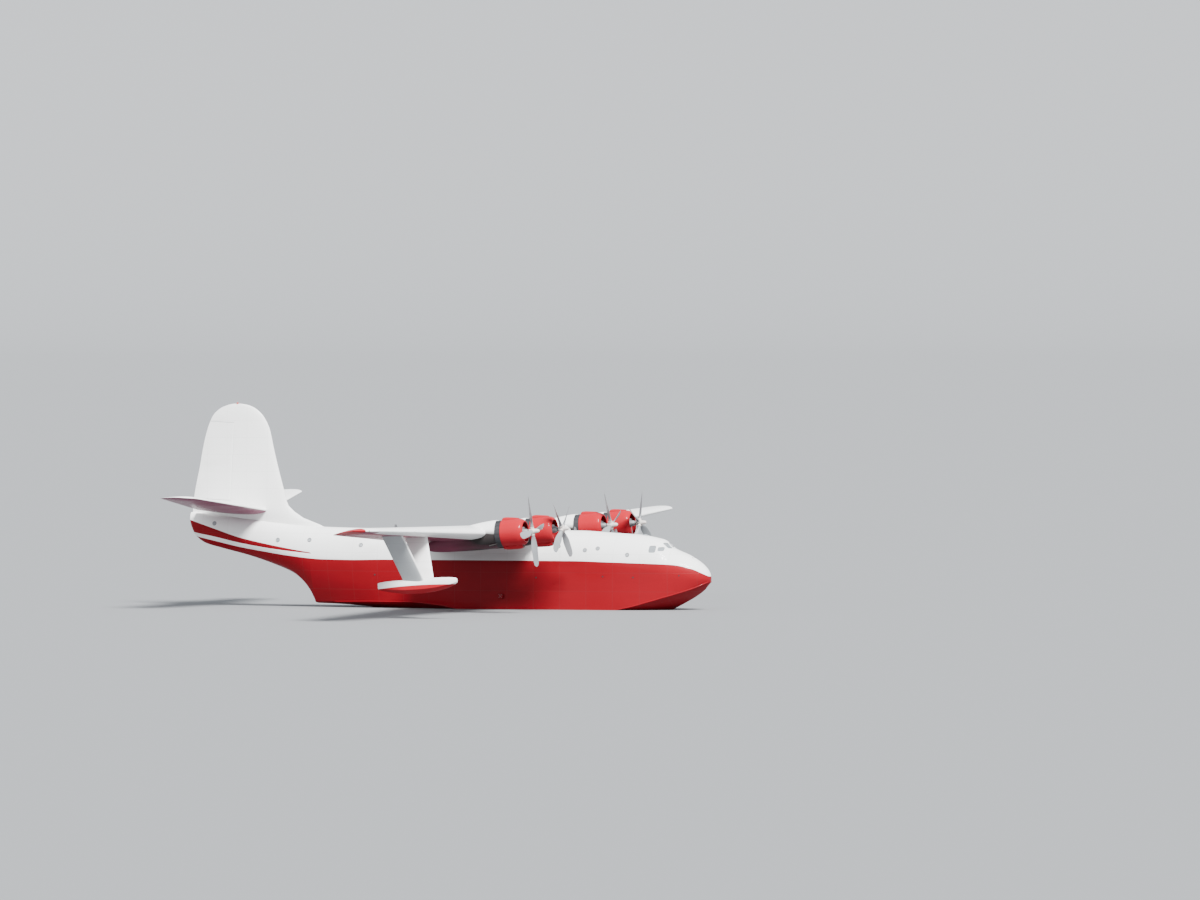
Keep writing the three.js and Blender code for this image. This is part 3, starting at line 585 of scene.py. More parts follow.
class Tone(Enum):
    """Linear base colours of the aircraft, and painted shade and reflection tones."""

    WHITE = rgba(0.85, 0.85, 0.835)
    RED = rgba(0.215, 0.0028, 0.0080)
    COWL = rgba(0.34, 0.0090, 0.0170)
    # Painted shade with a painted reflection of the red hull, for the undersides of wing,
    # nacelles and tips.
    UNDER_SHADE_REFLECTION = rgba(0.215, 0.055, 0.092)
    # Painted shade with a painted reflection of the red hull, for the stabilisers'
    # undersides.
    UNDER_RED_REFLECTION = rgba(0.205, 0.066, 0.108)
    BLADE = rgba(0.24, 0.25, 0.26)
    HUB = rgba(0.58, 0.53, 0.50)
    SHADE = rgba(0.40, 0.42, 0.43)
    SOOT = rgba(0.035, 0.030, 0.030)
    METAL = rgba(0.22, 0.22, 0.23)
    DARK = rgba(0.018, 0.018, 0.021)
    DIAL = rgba(0.020, 0.020, 0.021)
    LEATHER = rgba(0.075, 0.036, 0.020)


@dataclass(frozen=True)
class Paint:
    """Gloss aircraft paint over riveted sheet, weathered.

    Attributes:
        name: Material name.
        tone: Main colour.
        lower: Colour below the mark "paint", where the mesh carries it; real paint on hull,
            tips and floats, painted shade and red reflection under wing and nacelles.
        under: Painted shade and reflection, the colour on faces that look down.
        seams: Spacing of sheet joints along X, Y and Z in metres, zero for none.
        soot: Strength of the dark streaks marked "soot": exhaust soot on wing and nacelles,
            painted shadow of the wing on the hull.
        dirt: Strength of the overall grime.
        roughness: Base roughness.
        gloss: Weight of the clear coat.
        shine: Strength of the plain reflection.
        turn_under: Upward part of the normal at which the painted shade of downward faces
            starts.
    """

    name: str
    tone: Tone
    lower: Tone | None = None
    under: Tone | None = None
    seams: tuple[float, float, float] = (0.9, 0.0, 0.6)
    soot: float = 0.0
    dirt: float = 0.25
    roughness: float = 0.34
    gloss: float = 0.12
    shine: float = 0.04
    turn_under: float = -0.58

    def split(self, net: Net) -> Feed:
        """Main colour, with painted shade on faces that look down and the colours of the
        lower marks.
        """
        colour = self.tone.value
        # Faces that look down take their painted shade and reflection tone.
        if self.under:
            normal = net.add("ShaderNodeNewGeometry").outputs["Normal"]
            facing = net.add("ShaderNodeSeparateXYZ", {0: normal}).outputs["Z"]
            colour = net.mix(net.ramp(facing, self.turn_under - 0.06,
                                      self.turn_under + 0.06, 1.0, 0.0), colour,
                             self.under.value)
        if self.lower:
            below = net.ramp(net.mark("paint"), -0.003, 0.003, 1.0, 0.0)
            colour = net.mix(below, colour, self.lower.value)
            inside = net.math("MINIMUM", net.mark("stripe"), net.mark("stripe_top"))
            colour = net.mix(net.ramp(inside, -0.003, 0.003), colour, self.lower.value)
        return colour

    def joints(self, net: Net) -> tuple[Feed, Feed]:
        """Sheet joints and the rivets beside them.

        Formula: a joint is a line at each spacing along an axis. A rivet is one less the
        reach from the nearest point of a row beside the joint, 24 mm apart.

        Args:
            net: Material being built.

        Returns:
            Height of the joints and of the rivets, zero to one.
        """
        axes = net.axes()
        seam, dots = 0.0, 0.0
        for index, spacing in enumerate(self.seams):
            if not spacing:
                continue
            seam = net.math("MAXIMUM", net.line(axes[index], spacing, 0.007), seam)
            across = axes[2] if index == 0 else axes[0]
            off = net.math("SUBTRACT", net.math("PINGPONG", axes[index], spacing / 2),
                           0.022)
            step = net.math("PINGPONG", across, 0.024)
            reach = net.math("SQRT", net.math(
                "ADD", net.math("MULTIPLY", off, off), net.math("MULTIPLY", step, step)))
            dots = net.math("MAXIMUM", net.ramp(reach, 0.003, 0.007, 1.0, 0.0), dots)
        return seam, dots

    def build(self) -> Material:
        """Makes the material: colour split, grime, streaks, seams and rivets."""
        net = Net(self.name)
        colour = self.split(net)
        streak = net.noise(1.0, 4.0, (0.35, 2.6, 2.6))
        cloud = net.math("MULTIPLY", net.ramp(net.noise(0.55, 5.0), 0.42, 0.75),
                         net.ramp(streak, 0.40, 0.72))
        worn = net.mix(1.0, colour, rgba(0.62, 0.58, 0.54), kind="MULTIPLY")
        colour = net.mix(net.math("MULTIPLY", cloud, self.dirt), colour, worn)
        fade = net.math("MULTIPLY", net.ramp(net.noise(0.23, 2.0), 0.35, 0.7), 0.006)
        colour = net.mix(fade, colour, rgba(0.70, 0.50, 0.50))
        # Dark streaks on the mark "soot": exhaust soot, and on the hull the painted shadow of
        # the wing.
        if self.soot:
            cover = net.math("MULTIPLY", net.mark("soot"),
                             net.ramp(streak, 0.20, 0.62, 0.45, 1.0))
            colour = net.mix(net.math("MULTIPLY", cover, self.soot, clamp=True), colour,
                             Tone.SOOT.value)
        seam, dots = self.joints(net)
        colour = net.mix(net.math("MULTIPLY", seam, 0.20), colour,
                         rgba(0.10, 0.09, 0.085))
        relief = net.math("SUBTRACT", net.math("MULTIPLY", dots, 0.5), seam)
        normal = net.bump(net.noise(1.1, 2.0), 0.20, 0.016, net.bump(relief, 0.5, 0.004))
        rough = net.ramp(net.math("ADD", net.noise(38.0, 2.0), cloud), 0.2, 1.6,
                         self.roughness, self.roughness + 0.28)
        return net.finish(colour, rough, Coat_Weight=self.gloss, Coat_Roughness=0.06,
                          Specular_IOR_Level=self.shine, Normal=normal)


@dataclass(frozen=True)
class Plain:
    """Bare or painted fitting finish with light mottling.

    Attributes:
        name: Material name.
        tone: Base colour.
        metallic: Metal share.
        roughness: Base roughness.
        grain: Noise scale of the mottling.
        relief: Depth of the fine bump in metres.
        grime: Share of dark dirt in the hollows of the noise.
    """

    name: str
    tone: Tone
    metallic: float = 0.0
    roughness: float = 0.45
    grain: float = 14.0
    relief: float = 0.0006
    grime: float = 0.35

    def build(self) -> Material:
        """Makes the material from one broad and one fine noise."""
        net = Net(self.name)
        broad, fine = net.noise(self.grain * 0.25, 4.0), net.noise(self.grain * 5, 3.0)
        dark = tuple(0.35 * part for part in self.tone.value[:3]) + (1.0,)
        share = net.math("MULTIPLY", net.ramp(broad, 0.40, 0.75), self.grime)
        colour = net.mix(share, self.tone.value, dark)
        rough = net.ramp(fine, 0.3, 0.7, self.roughness, min(1.0, self.roughness + 0.2))
        return net.finish(colour, rough, Metallic=self.metallic,
                          Normal=net.bump(fine, 0.6, self.relief))


def window_glass() -> Material:
    """Tinted window glass with faint dust: a dark clear coat, partly see-through."""
    net = Net("window_glass")
    dust = net.ramp(net.noise(3.0, 5.0), 0.45, 0.8)
    colour = net.mix(net.math("MULTIPLY", dust, 0.35), rgba(0.36, 0.39, 0.41),
                     rgba(0.60, 0.59, 0.57))
    return net.finish(colour, net.ramp(dust, 0.0, 1.0, 0.05, 0.24),
                      Transmission_Weight=0.35, IOR=1.30, Alpha=0.88,
                      Coat_Weight=0.6, Coat_Roughness=0.03)


def lamp_lens(name: str, colour: tuple[float, float, float, float]) -> Material:
    """Lens of an unlit lamp: glossy coloured glass with fine ribs."""
    net = Net(name)
    ribs = net.line(net.axes()[2], 0.008, 0.002)
    ribbed = net.mix(net.math("MULTIPLY", ribs, 0.3), colour, rgba(0.02, 0.02, 0.02))
    return net.finish(ribbed, 0.12, Coat_Weight=0.5, Normal=net.bump(ribs, 0.4, 0.001))


# Hull rows: station, keel, chine, chine half, side half, shoulder and top.
FORE_ROWS = (
    (0.00, 2.80, 2.90, 0.16, 0.20, 3.00, 3.14), (0.08, 2.70, 2.84, 0.34, 0.42, 3.02, 3.42),
    (0.34, 2.40, 2.70, 0.62, 0.76, 3.05, 3.80), (0.91, 1.97, 2.44, 0.98, 1.14, 3.10, 4.26),
    (1.59, 1.58, 2.20, 1.30, 1.42, 3.18, 4.63), (2.16, 1.28, 2.02, 1.48, 1.58, 3.25, 4.86),
    (2.56, 1.08, 1.90, 1.60, 1.68, 3.30, 5.06), (2.84, 0.96, 1.82, 1.67, 1.74, 3.34, 5.32),
    (3.19, 0.82, 1.71, 1.75, 1.80, 3.38, 5.56), (3.78, 0.60, 1.54, 1.86, 1.88, 3.45, 5.70),
    (4.70, 0.43, 1.28, 1.97, 1.96, 3.55, 5.86), (5.40, 0.36, 1.13, 2.02, 2.00, 3.62, 5.90),
    (6.70, 0.25, 0.87, 2.06, 2.04, 3.75, 5.98), (8.80, 0.13, 0.60, 2.08, 2.05, 3.85, 6.10),
    (11.7, 0.03, 0.44, 2.08, 2.05, 3.90, 6.12), (15.0, 0.00, 0.42, 2.08, 2.05, 3.90, 6.12),
)
AFT_ROWS = (
    (15.0, 0.42, 0.84, 2.06, 2.05, 3.90, 6.12), (16.1, 0.49, 0.96, 2.04, 2.05, 3.90, 6.12),
    (17.9, 0.61, 1.28, 1.96, 2.04, 3.92, 6.12), (20.3, 0.81, 1.46, 1.74, 1.95, 3.98, 6.14),
    (22.6, 1.04, 1.46, 1.38, 1.80, 4.05, 6.16), (25.0, 1.24, 1.42, 0.86, 1.58, 4.16, 6.20),
    (27.06, 1.32, 1.40, 0.26, 1.36, 4.32, 6.26),
)
TAIL_ROWS = (
    (27.06, 1.34, 1.46, 0.26, 1.36, 4.32, 6.26), (27.30, 1.90, 2.08, 0.46, 1.34, 4.36, 6.28),
    (27.80, 2.57, 2.80, 0.62, 1.29, 4.48, 6.31), (28.60, 3.22, 3.46, 0.66, 1.20, 4.66, 6.38),
    (29.90, 3.77, 4.02, 0.60, 1.06, 4.98, 6.52), (31.70, 4.35, 4.58, 0.48, 0.86, 5.42, 6.76),
    (33.55, 4.81, 5.02, 0.34, 0.64, 5.80, 6.98), (34.80, 5.16, 5.36, 0.25, 0.48, 6.10, 7.10),
    (35.50, 5.71, 5.86, 0.19, 0.38, 6.36, 7.16), (35.74, 6.22, 6.32, 0.13, 0.30, 6.64, 7.14),
)
# Station, and height of the paint line over the keel.
PAINT_ROWS = (
    (0.0, 3.19), (0.1, 3.26), (0.31, 3.39), (1.0, 3.72), (2.17, 3.97), (4.2, 4.06),
    (6.5, 4.13), (8.8, 4.19), (21.6, 4.19), (24.0, 4.15), (26.1, 4.17), (28.5, 4.37),
    (30.4, 4.63), (32.2, 4.91), (34.0, 5.29), (35.3, 5.56), (35.8, 5.66),
)
# Tail stripe: station, lower edge, upper edge over the keel.
STRIPE_ROWS = (
    (26.6, 4.50, 4.54), (28.5, 4.67, 4.83), (30.4, 4.90, 5.17), (32.2, 5.19, 5.55),
    (34.0, 5.57, 6.10), (35.3, 5.80, 6.51), (35.8, 5.91, 6.67),
)
STRIPE_TIP = 26.9


def hull_numbers(at: Array) -> Array:
    """Keel, chine, chine half, side half, shoulder and top at stations, by their table."""
    parts = [smooth_table(rows, at) for rows in (FORE_ROWS, AFT_ROWS, TAIL_ROWS)]
    return np.choose(((at > STEP_STATION) * 1 + (at > POST_STATION))[:, None], parts)


# Where the half outline of a section reaches the chine and the shoulder.
CHINE_POINT, SHOULDER_POINT = 8, 14


def hull_half(numbers: Array, inset: float = 0.0) -> Array:
    """Half outline of a hull section from keel to crown.

    Formula: a hollow-ended V from keel to chine, a slightly bowed side from chine to
    shoulder, then side times cosine to the 0.86 and height times sine to the 0.94.

    Args:
        numbers: Rows of keel, chine, chine half, side half, shoulder, top.
        inset: Distance moved inwards.

    Returns:
        Sections, points, and side and height.
    """
    keel, chine, chine_half, side_half, shoulder, top = (c[:, None] for c in numbers.T)
    u = np.linspace(0, 1, 9)[None]
    low_y = np.minimum(0.05, 0.3 * chine_half) * (1 - u) + chine_half * u
    low_z = keel + (chine - keel) * (0.90 * u**1.18 + 0.10 * u**4)
    v = np.linspace(0, 1, 7)[None, 1:-1]
    side_y = chine_half + (side_half - chine_half) * (1.6 * v - 0.6 * v * v)
    side_z = chine + (shoulder - chine) * v
    angle = np.radians(np.linspace(0, 90, 25))[None]
    arch_y = side_half * np.cos(angle) ** 0.86
    arch_z = shoulder + (top - shoulder) * np.sin(angle) ** 0.94
    y = np.concatenate([low_y, side_y, arch_y], 1)
    z = np.concatenate([low_z, side_z, arch_z], 1)
    y[:, -1] = 0.0
    if inset:
        y = np.maximum(y - inset, 0.0)
        z = np.where(z > shoulder, z - inset * (z - shoulder) / (top - shoulder), z)
    return np.stack([y, z], -1)


def hull_side(station: float, height: Array | float) -> Array | float:
    """Half width of the hull above the chine, at a station and a height over the keel."""
    half = hull_half(hull_numbers(np.array([station])))[0, CHINE_POINT:]
    return np.interp(height, half[:, 1], half[:, 0])


def on_side(station: float, height: float, side: int) -> tuple[Array, Array]:
    """Point on one side of the hull, and the outward normal there."""
    out, over = hull_side(station, np.array([height, height + 0.05]))
    normal = np.array([0.0, side, (out - over) / 0.05])
    return place(station, side * out, height), normal / np.linalg.norm(normal)


def over_line(rows: Sequence[Sequence[float]], column: int, places: Array) -> Array:
    """Height over one line of a table, in model metres."""
    line = smooth_table(rows, station_of(places))[:, column]
    return places[:, 2] - (line - WATERLINE) * SCALE


def paint_mark(places: Array) -> Array:
    """Height over the paint line; red where it is negative."""
    return over_line(PAINT_ROWS, 0, places)


def stripe_top_mark(places: Array) -> Array:
    """Depth below the upper edge of the tail stripe; negative ahead of its tip."""
    ahead = np.maximum(STRIPE_TIP - station_of(places), 0.0)
    return -over_line(STRIPE_ROWS, 1, places) - ahead * SCALE


def no_stripe(places: Array) -> Array:
    """A mark that is negative everywhere, for pieces without the stripe."""
    return np.full(len(places), -1.0)


def hull_wing_shade(places: Array) -> Array:
    """Painted shadow of the wing on the white sides under it, fading at its ends."""
    station = station_of(places)
    ends = np.clip((station - 11.2) / 1.5, 0, 1) * np.clip((20.0 - station) / 4.0, 0, 1)
    return ends * np.clip(paint_mark(places) / 0.02, 0, 1)


# The mark "stripe" is the height over the lower edge of the tail stripe; the mark "soot" is
# the painted shadow of the wing.
HULL_MARKS = {"paint": paint_mark, "soot": hull_wing_shade, "stripe_top": stripe_top_mark,
              "stripe": partial(over_line, STRIPE_ROWS, 0)}


@dataclass
class Hull:
    """Stepped planing hull with its flight deck cut hollow and windows cut through.

    Attributes:
        paint: Two-tone hull paint.
        fittings: Finish of the port rims.
        glass: Window glass.
        windows: Fore and aft stations, near and far distance out, low and high over the
            keel of each rounded opening, the windscreen first.
        round_ports: Station and height of the middle of each side port.
        cabin: Fore and aft stations of the hollow, and its floor over the keel.
        wall: Thickness left round the hollow.
        sunk: Depth of the panes in their openings.
        pane: Thickness of the panes.
    """

    paint: Material
    fittings: Material
    glass: Material
    windows: tuple[tuple[float, ...], ...] = (
        (2.10, 3.30, 0.07, 0.72, 5.00, 5.36), (2.78, 3.16, 0.90, 3.00, 4.84, 5.10),
        (3.27, 3.72, 0.90, 3.00, 4.74, 5.19),
    )
    round_ports: tuple[tuple[float, float], ...] = (
        (9.76, 5.12), (7.93, 4.89), (7.08, 5.00), (5.06, 4.60), (23.42, 5.11),
        (27.12, 5.41), (29.35, 5.39), (33.96, 6.43),
    )
    cabin: tuple[float, float, float] = (2.42, 6.4, 4.20)
    wall: float = 0.09
    sunk: float = 0.035
    pane: float = 0.02

    def rings(self) -> Array:
        """Hull sections keel to crown and back, doubled at the step and the stern post."""
        fore = np.concatenate([3.6 * np.linspace(0, 1, 46) ** 1.5,
                               np.linspace(3.8, STEP_STATION, 46)])
        aft = np.linspace(STEP_STATION, POST_STATION, 44)
        tail = POST_STATION + TAIL_LENGTH * np.concatenate([
            np.linspace(0, 0.2, 18), np.linspace(0.225, 0.93, 24),
            np.linspace(0.94, 1.0, 9)])
        ring = mirrored(hull_half(np.concatenate([
            smooth_table(FORE_ROWS, fore), smooth_table(AFT_ROWS, aft),
            smooth_table(TAIL_ROWS, tail)])))
        at = np.concatenate([fore, aft, tail])
        return place(at[:, None], ring[..., 0], ring[..., 1])

    def cabin_tool(self) -> bpy.types.Object:
        """Hollow of the flight deck, a closed form inside the hull wall."""
        fore, aft, floor = self.cabin
        at = np.linspace(fore, aft, 26)
        half = hull_half(hull_numbers(at), self.wall)[:, SHOULDER_POINT:]
        port = np.stack([half[..., 0], np.maximum(half[..., 1], floor)], -1)
        both = np.concatenate([port, port[:, ::-1] * np.array([-1.0, 1.0])], 1)
        return Skin().grid(place(at[:, None], both[..., 0], both[..., 1])).bare("cabin_tool")

    def window_tools(self) -> list[bpy.types.Object]:
        """Rounded prisms through the wall at each window, both sides."""
        return [
            Skin().grid(self.prism(window, side, index == 0)).bare(f"window_tool_{index}")
            for index, window in enumerate(self.windows) for _, side in SIDES
        ]

    def prism(self, window: Sequence[float], side: int, ahead: bool) -> list[Array]:
        """Rounded prism, its two end rings superellipses.

        Args:
            window: One row of the windows.
            side: 1 for port, -1 for starboard.
            ahead: Whether it runs along X, as for the windscreen, and not along Y.

        Returns:
            Two rings.
        """
        fore, aft, near, far, low, high = window
        wide, tall = squared(round_angles(28), 0.45)
        up = (low + high) / 2 + (high - low) / 2 * tall
        if ahead:
            out = side * ((near + far) / 2 + (far - near) / 2 * wide)
            return [place(station, out, up) for station in (fore, aft)]
        along = (fore + aft) / 2 + (aft - fore) / 2 * wide
        return [place(along, side * out, up) for out in (near, far)]

    def build(self) -> None:
        """Builds the skin, then the strips, the ports and the flight deck's panes."""
        Skin().grid(self.rings()).build("hull_skin", [self.paint], replaces=(
            "hull_forebody", "hull_afterbody", "tail_cone", "flight_deck_shell"),
            slot="hull_red", angle=28.0, marks=HULL_MARKS,
            carve=[self.cabin_tool(), *self.window_tools()])
        self.strips()
        self.ports()
        self.panes()

    def strips(self) -> None:
        """Spray strips along both chines and the keel shoe, round bars half sunk."""
        skin = Skin()
        proud = 0.005
        chines = ((0.06 + 14.92 * np.linspace(0, 1, 90) ** 1.3, 0.018),
                  (np.linspace(15.02, 25.5, 40), 0.015))
        for _, side in SIDES:
            for at, radius in chines:
                numbers = hull_numbers(at)
                path = place(at, side * (numbers[:, 2] + proud), numbers[:, 1] - proud)
                skin.grid(tube(path, radius, 8))
        for low, high in ((0.3, 14.97), (15.05, 27.0)):
            at = np.linspace(low, high, 60)
            skin.grid(tube(place(at, 0.0, hull_numbers(at)[:, 0]), 0.016, 8))
        skin.build("chine_strips", [self.paint], slot="hull_red", marks=HULL_MARKS)

    def ports(self) -> None:
        """Round side ports: a bead as the rim, and a disc as the pane."""
        rims, panes = Skin(), Skin()
        for station, height in self.round_ports:
            for _, side in SIDES:
                middle, normal = on_side(station, height, side)
                rims.grid(ring_on(middle, normal, 0.13 * SCALE, 0.009))
                panes.grid(disc_on(middle, normal, 0.125 * SCALE, 0.004))
        rims.build("port_rims", [self.fittings], slot="fitting_metal")
        panes.build("port_panes", [self.glass], slot="cockpit_glass")

    def panes(self) -> None:
        """Flight deck panes just inside each opening, following the hull's curve."""
        panes = Skin()
        lap = 0.05
        for fore, aft, _, _, low, high in self.windows[1:]:
            up = np.linspace(low - lap, high + lap, 7)
            for _, side in SIDES:
                rings = []
                for station in np.linspace(fore - lap, aft + lap, 8):
                    outer = hull_side(station, up) - self.sunk
                    out = np.concatenate([outer, outer[::-1] - self.pane])
                    rings.append(place(station, side * out, np.concatenate([up, up[::-1]])))
                panes.grid(rings)
        panes.grid(self.screen(1)).grid(self.screen(-1))
        panes.build("flight_deck_panes", [self.glass], slot="cockpit_glass",
                    replaces=("flight_deck_glazing",))

    def screen(self, side: int) -> list[Array]:
        """One windscreen half: a sheet that follows the sloping crown from inside."""
        _, _, near, far, low, high = self.windows[0]
        lap = 0.04
        up = np.linspace(low - lap, high + lap, 9)
        rings = []
        for out in np.linspace(near - lap, far + lap, 9):
            outer = crown_station(out, up) + self.sunk
            along = np.concatenate([outer, outer[::-1] + self.pane])
            rings.append(place(along, side * out, np.concatenate([up, up[::-1]])))
        return rings


def crown_station(side: float, height: Array) -> Array:
    """Foremost stations where the hull reaches heights, between two of its sections."""
    at = np.linspace(1.2, 5.2, 81)
    half = hull_half(hull_numbers(at))[:, SHOULDER_POINT:]
    tops = np.array([np.interp(side, ring[::-1, 0], ring[::-1, 1]) for ring in half])
    k = np.argmax(tops[:, None] >= height, 0)
    share = (height - tops[k - 1]) / (tops[k] - tops[k - 1])
    return at[k - 1] + share * (at[k] - at[k - 1])


def circle_on(normal: Array, turn: Array) -> Array:
    """Unit directions across a normal at the given angles."""
    helper = np.array([0.0, 0.0, 1.0]) if abs(normal[2]) < 0.9 else np.array([1.0, 0, 0])
    first = np.cross(helper, normal)
    first /= np.linalg.norm(first)
    turn = turn[:, None]
    return np.cos(turn) * first + np.sin(turn) * np.cross(normal, first)


def ring_on(middle: Array, normal: Array, radius: float, thick: float) -> Array:
    """Round bead standing on a surface: a small circle carried round a large one.

    Args:
        middle: Point on the surface.
        normal: Unit normal there.
        radius: Radius of the ring.
        thick: Radius of the bead.

    Returns:
        Grid of rings that closes both ways.
    """
    out = circle_on(normal, np.linspace(0, 2 * np.pi, 33))[:, None]
    around = round_angles(10)[:, None]
    return middle + out * (radius + thick * np.cos(around)) + thick * np.sin(around) * normal


def disc_on(middle: Array, normal: Array, radius: float, thick: float) -> Array:
    """Short closed disc on a surface, up by its thickness and sunk by six times as much."""
    out = radius * circle_on(normal, round_angles(32))
    return middle + out[None] + np.array([-6.0, 1.0])[:, None, None] * thick * normal


def foil_half(thickness: Array | float, u: Array | float) -> Array:
    """Half thickness of the aerofoil in chords; a four-digit form with a thin tail."""
    return 5 * thickness * (0.2969 * np.sqrt(u) - 0.126 * u - 0.3516 * u**2
                            + 0.2843 * u**3 - 0.1015 * u**4) + 0.0012 * np.minimum(1, u * 30)


def foil_loop(thickness: float, count: int) -> tuple[Array, Array]:
    """Closed outline of a symmetric aerofoil: shares along, and chords sideways."""
    u = eased(count)
    half = foil_half(thickness, u)
    return np.concatenate([u, u[-2:0:-1]]), np.concatenate([half, -half[-2:0:-1]])


def cove_of(half: float, swing: float) -> tuple[float, float, float]:
    """Round bay in which the nose of a control surface turns.

    Formula: the radius is the half thickness over the cosine of half the swing, plus a
    gap; its lip lies ahead by the third side of the triangle of radius and half.

    Args:
        half: Half thickness at the hinge, in model metres.
        swing: Greatest turn in degrees.

    Returns:
        Radius, distance of the lip ahead of the hinge, and the lip's angle in degrees.
    """
    radius = half / math.cos(math.radians(swing / 2)) + COVE_GAP
    return radius, math.sqrt(radius**2 - half**2), math.degrees(math.acos(half / radius))


def hinge_arc(middle: Array, radius: float, ahead: Array, above: Array, start: float,
              stop: float, count: int) -> Array:
    """Arc about a hinge from start to stop degrees; 90 lies ahead and 180 above."""
    angle = np.radians(np.linspace(start, stop, count))[:, None]
    return middle + radius * (np.sin(angle) * ahead - np.cos(angle) * above)


@dataclass(frozen=True)
class Lifting:
    """A tapered lifting surface, its chord plane tilted about the span.

    Attributes:
        span: Half span in full-size metres.
        root: Leading edge station, chord and height at the middle.
        tip: Leading edge station, chord and height at the tip.
        thick: Thickness ratio at the middle and at the tip.
        camber: Camber ratio.
        tilt: Incidence in degrees.
        hinge: Chord share of the hinge line.
        cap: Spanwise place where the rounded tip starts.
        power: Power of the tip rounding.
        centre: Chord share about which the tip shrinks.
    """

    span: float
    root: tuple[float, float, float]
    tip: tuple[float, float, float]
    thick: tuple[float, float]
    camber: float
    tilt: float
    hinge: float
    cap: float
    power: float
    centre: float

    def run(self, index: int, out: Array | float) -> Array:
        """Nose station, chord or height, by its index, at a distance out."""
        return self.root[index] + (self.tip[index] - self.root[index]) * (out / self.span)

    def ratio(self, out: Array | float) -> Array:
        """Thickness ratio at a distance out."""
        return self.thick[0] + (self.thick[1] - self.thick[0]) * (out / self.span)

    def slant(self) -> float:
        """Sideways step per metre aft that keeps a cut square to the hinge line."""
        sweep = (self.tip[0] - self.root[0] + self.hinge * (self.tip[1] - self.root[1]))
        return -sweep / self.span

    def points(self, side: int, out: Array | float, u: Array | float,
               face: float) -> Array:
        """Surface points.

        Formula: the nose point and chord run straight from root to tip; a point lies
        u chords aft and the camber line plus or minus the half thickness up, both in
        axes turned by the incidence. Past the cap the chord shrinks by a cosine power.

        Args:
            side: 1 for port, -1 for starboard.
            out: Distance out from the centreline, full size.
            u: Chord share, zero at the nose.
            face: One for the upper face, minus one for the lower, zero between.

        Returns:
            Points in the model frame.
        """
        out, u, face = np.broadcast_arrays(out, u, face)
        chord = self.run(1, out)
        reach = np.clip((out - self.cap) / (self.span - self.cap), 0.0, 1.0)
        shrink = np.maximum(np.maximum(1 - reach**2, 0.0) ** (self.power / 2), 0.02)
        along = (self.centre + (u - self.centre) * shrink) * chord
        line = 4 * self.camber * u * (1 - u)
        up = (line + face * foil_half(self.ratio(out), u)) * chord * shrink
        up = up + 4 * self.camber * 0.24 * chord * (1 - shrink)
        cosine, sine = turn_of(self.tilt)
        return place(self.run(0, out) + cosine * along + sine * up, side * out,
                     self.run(2, out) - sine * along + cosine * up)

    def half_at(self, out: float) -> float:
        """Half thickness at the hinge line in model metres."""
        return float(foil_half(self.ratio(out), self.hinge) * self.run(1, out) * SCALE)

    def slanted(self, side: int, out: float, u: Array, face: float) -> Array:
        """Surface points of a cut square to the hinge line behind the hinge."""
        shift = self.slant() * np.maximum(u - self.hinge, 0.0) * self.run(1, out)
        return self.points(side, out + shift, u, face)

    def arc(self, side: int, out: float, radius: float, start: float, stop: float,
            count: int) -> Array:
        """Arc about the hinge, zero straight down; hinge_arc gives the last arguments."""
        cosine, sine = turn_of(self.tilt)
        ahead = np.array([cosine, side * -self.slant(), sine])
        above = np.array([-sine, 0.0, cosine])
        return hinge_arc(self.points(side, out, self.hinge, 0.0), radius, ahead, above,
                         start, stop, count)

    def fixed_ring(self, side: int, out: float, swing: float | None) -> Array:
        """Ring of the fixed part, from the lower lip round the nose to the upper one.

        Args:
            side: 1 for port, -1 for starboard.
            out: Distance out from the centreline.
            swing: Swing of the surface in the cove, or None where the ring is whole.

        Returns:
            Points of the ring.
        """
        lip = self.hinge
        if swing is not None:
            radius, ahead, tip = cove_of(self.half_at(out), swing)
            lip -= ahead / (self.run(1, out) * SCALE)
            back = self.arc(side, out, radius, 180.0 - tip, tip, 16)[1:-1]
        else:
            v = np.linspace(lip, 1.0, 8)[1:]
            back = np.concatenate([self.slanted(side, out, v, 1.0),
                                   self.slanted(side, out, v[::-1], -1.0)])
        u = lip * eased(30) ** 1.15
        return np.concatenate([self.points(side, out, u[::-1], -1.0),
                               self.points(side, out, u[1:], 1.0), back])

    def moving_grid(self, side: int, start: float, stop: float, rings: int = 24) -> Array:
        """Grid of a control surface with its round nose, from start out to stop."""
        v = self.hinge + (1 - self.hinge) * np.linspace(0, 1, 12)
        return np.array([np.concatenate([
            self.slanted(side, out, v, 1.0), self.slanted(side, out, v[::-1], -1.0),
            self.arc(side, out, 0.96 * self.half_at(out), 0.0, 180.0, 17),
        ]) for out in np.linspace(start, stop, rings)])


WING = Lifting(30.48, (10.7, 8.15, 5.85), (12.42, 2.75, 6.86), (0.17, 0.12), 0.028, 5.3,
               0.76, 28.5, 1.5, 0.36)
STAB = Lifting(10.7, (30.35, 4.9, 7.28), (31.8, 2.3, 8.37), (0.12, 0.10), 0.0, 0.0,
               0.66, 9.7, 1.4, 0.45)
# Side of each engine, its distance out, and the angle of its parked propeller.
ENGINES = {"left_outer": (1, OUTER_OUT, 62.0), "left_inner": (1, INNER_OUT, 20.0),
           "right_inner": (-1, INNER_OUT, 38.0), "right_outer": (-1, OUTER_OUT, 7.0)}


def tip_rule(places: Array) -> Array:
    """Distance inboard of the slanted edge of the red tip, in model metres."""
    edge = np.maximum(29.75 - 0.8 * (station_of(places) - 12.9), 28.55)
    return (edge - np.abs(places[:, 1]) / SCALE) * SCALE


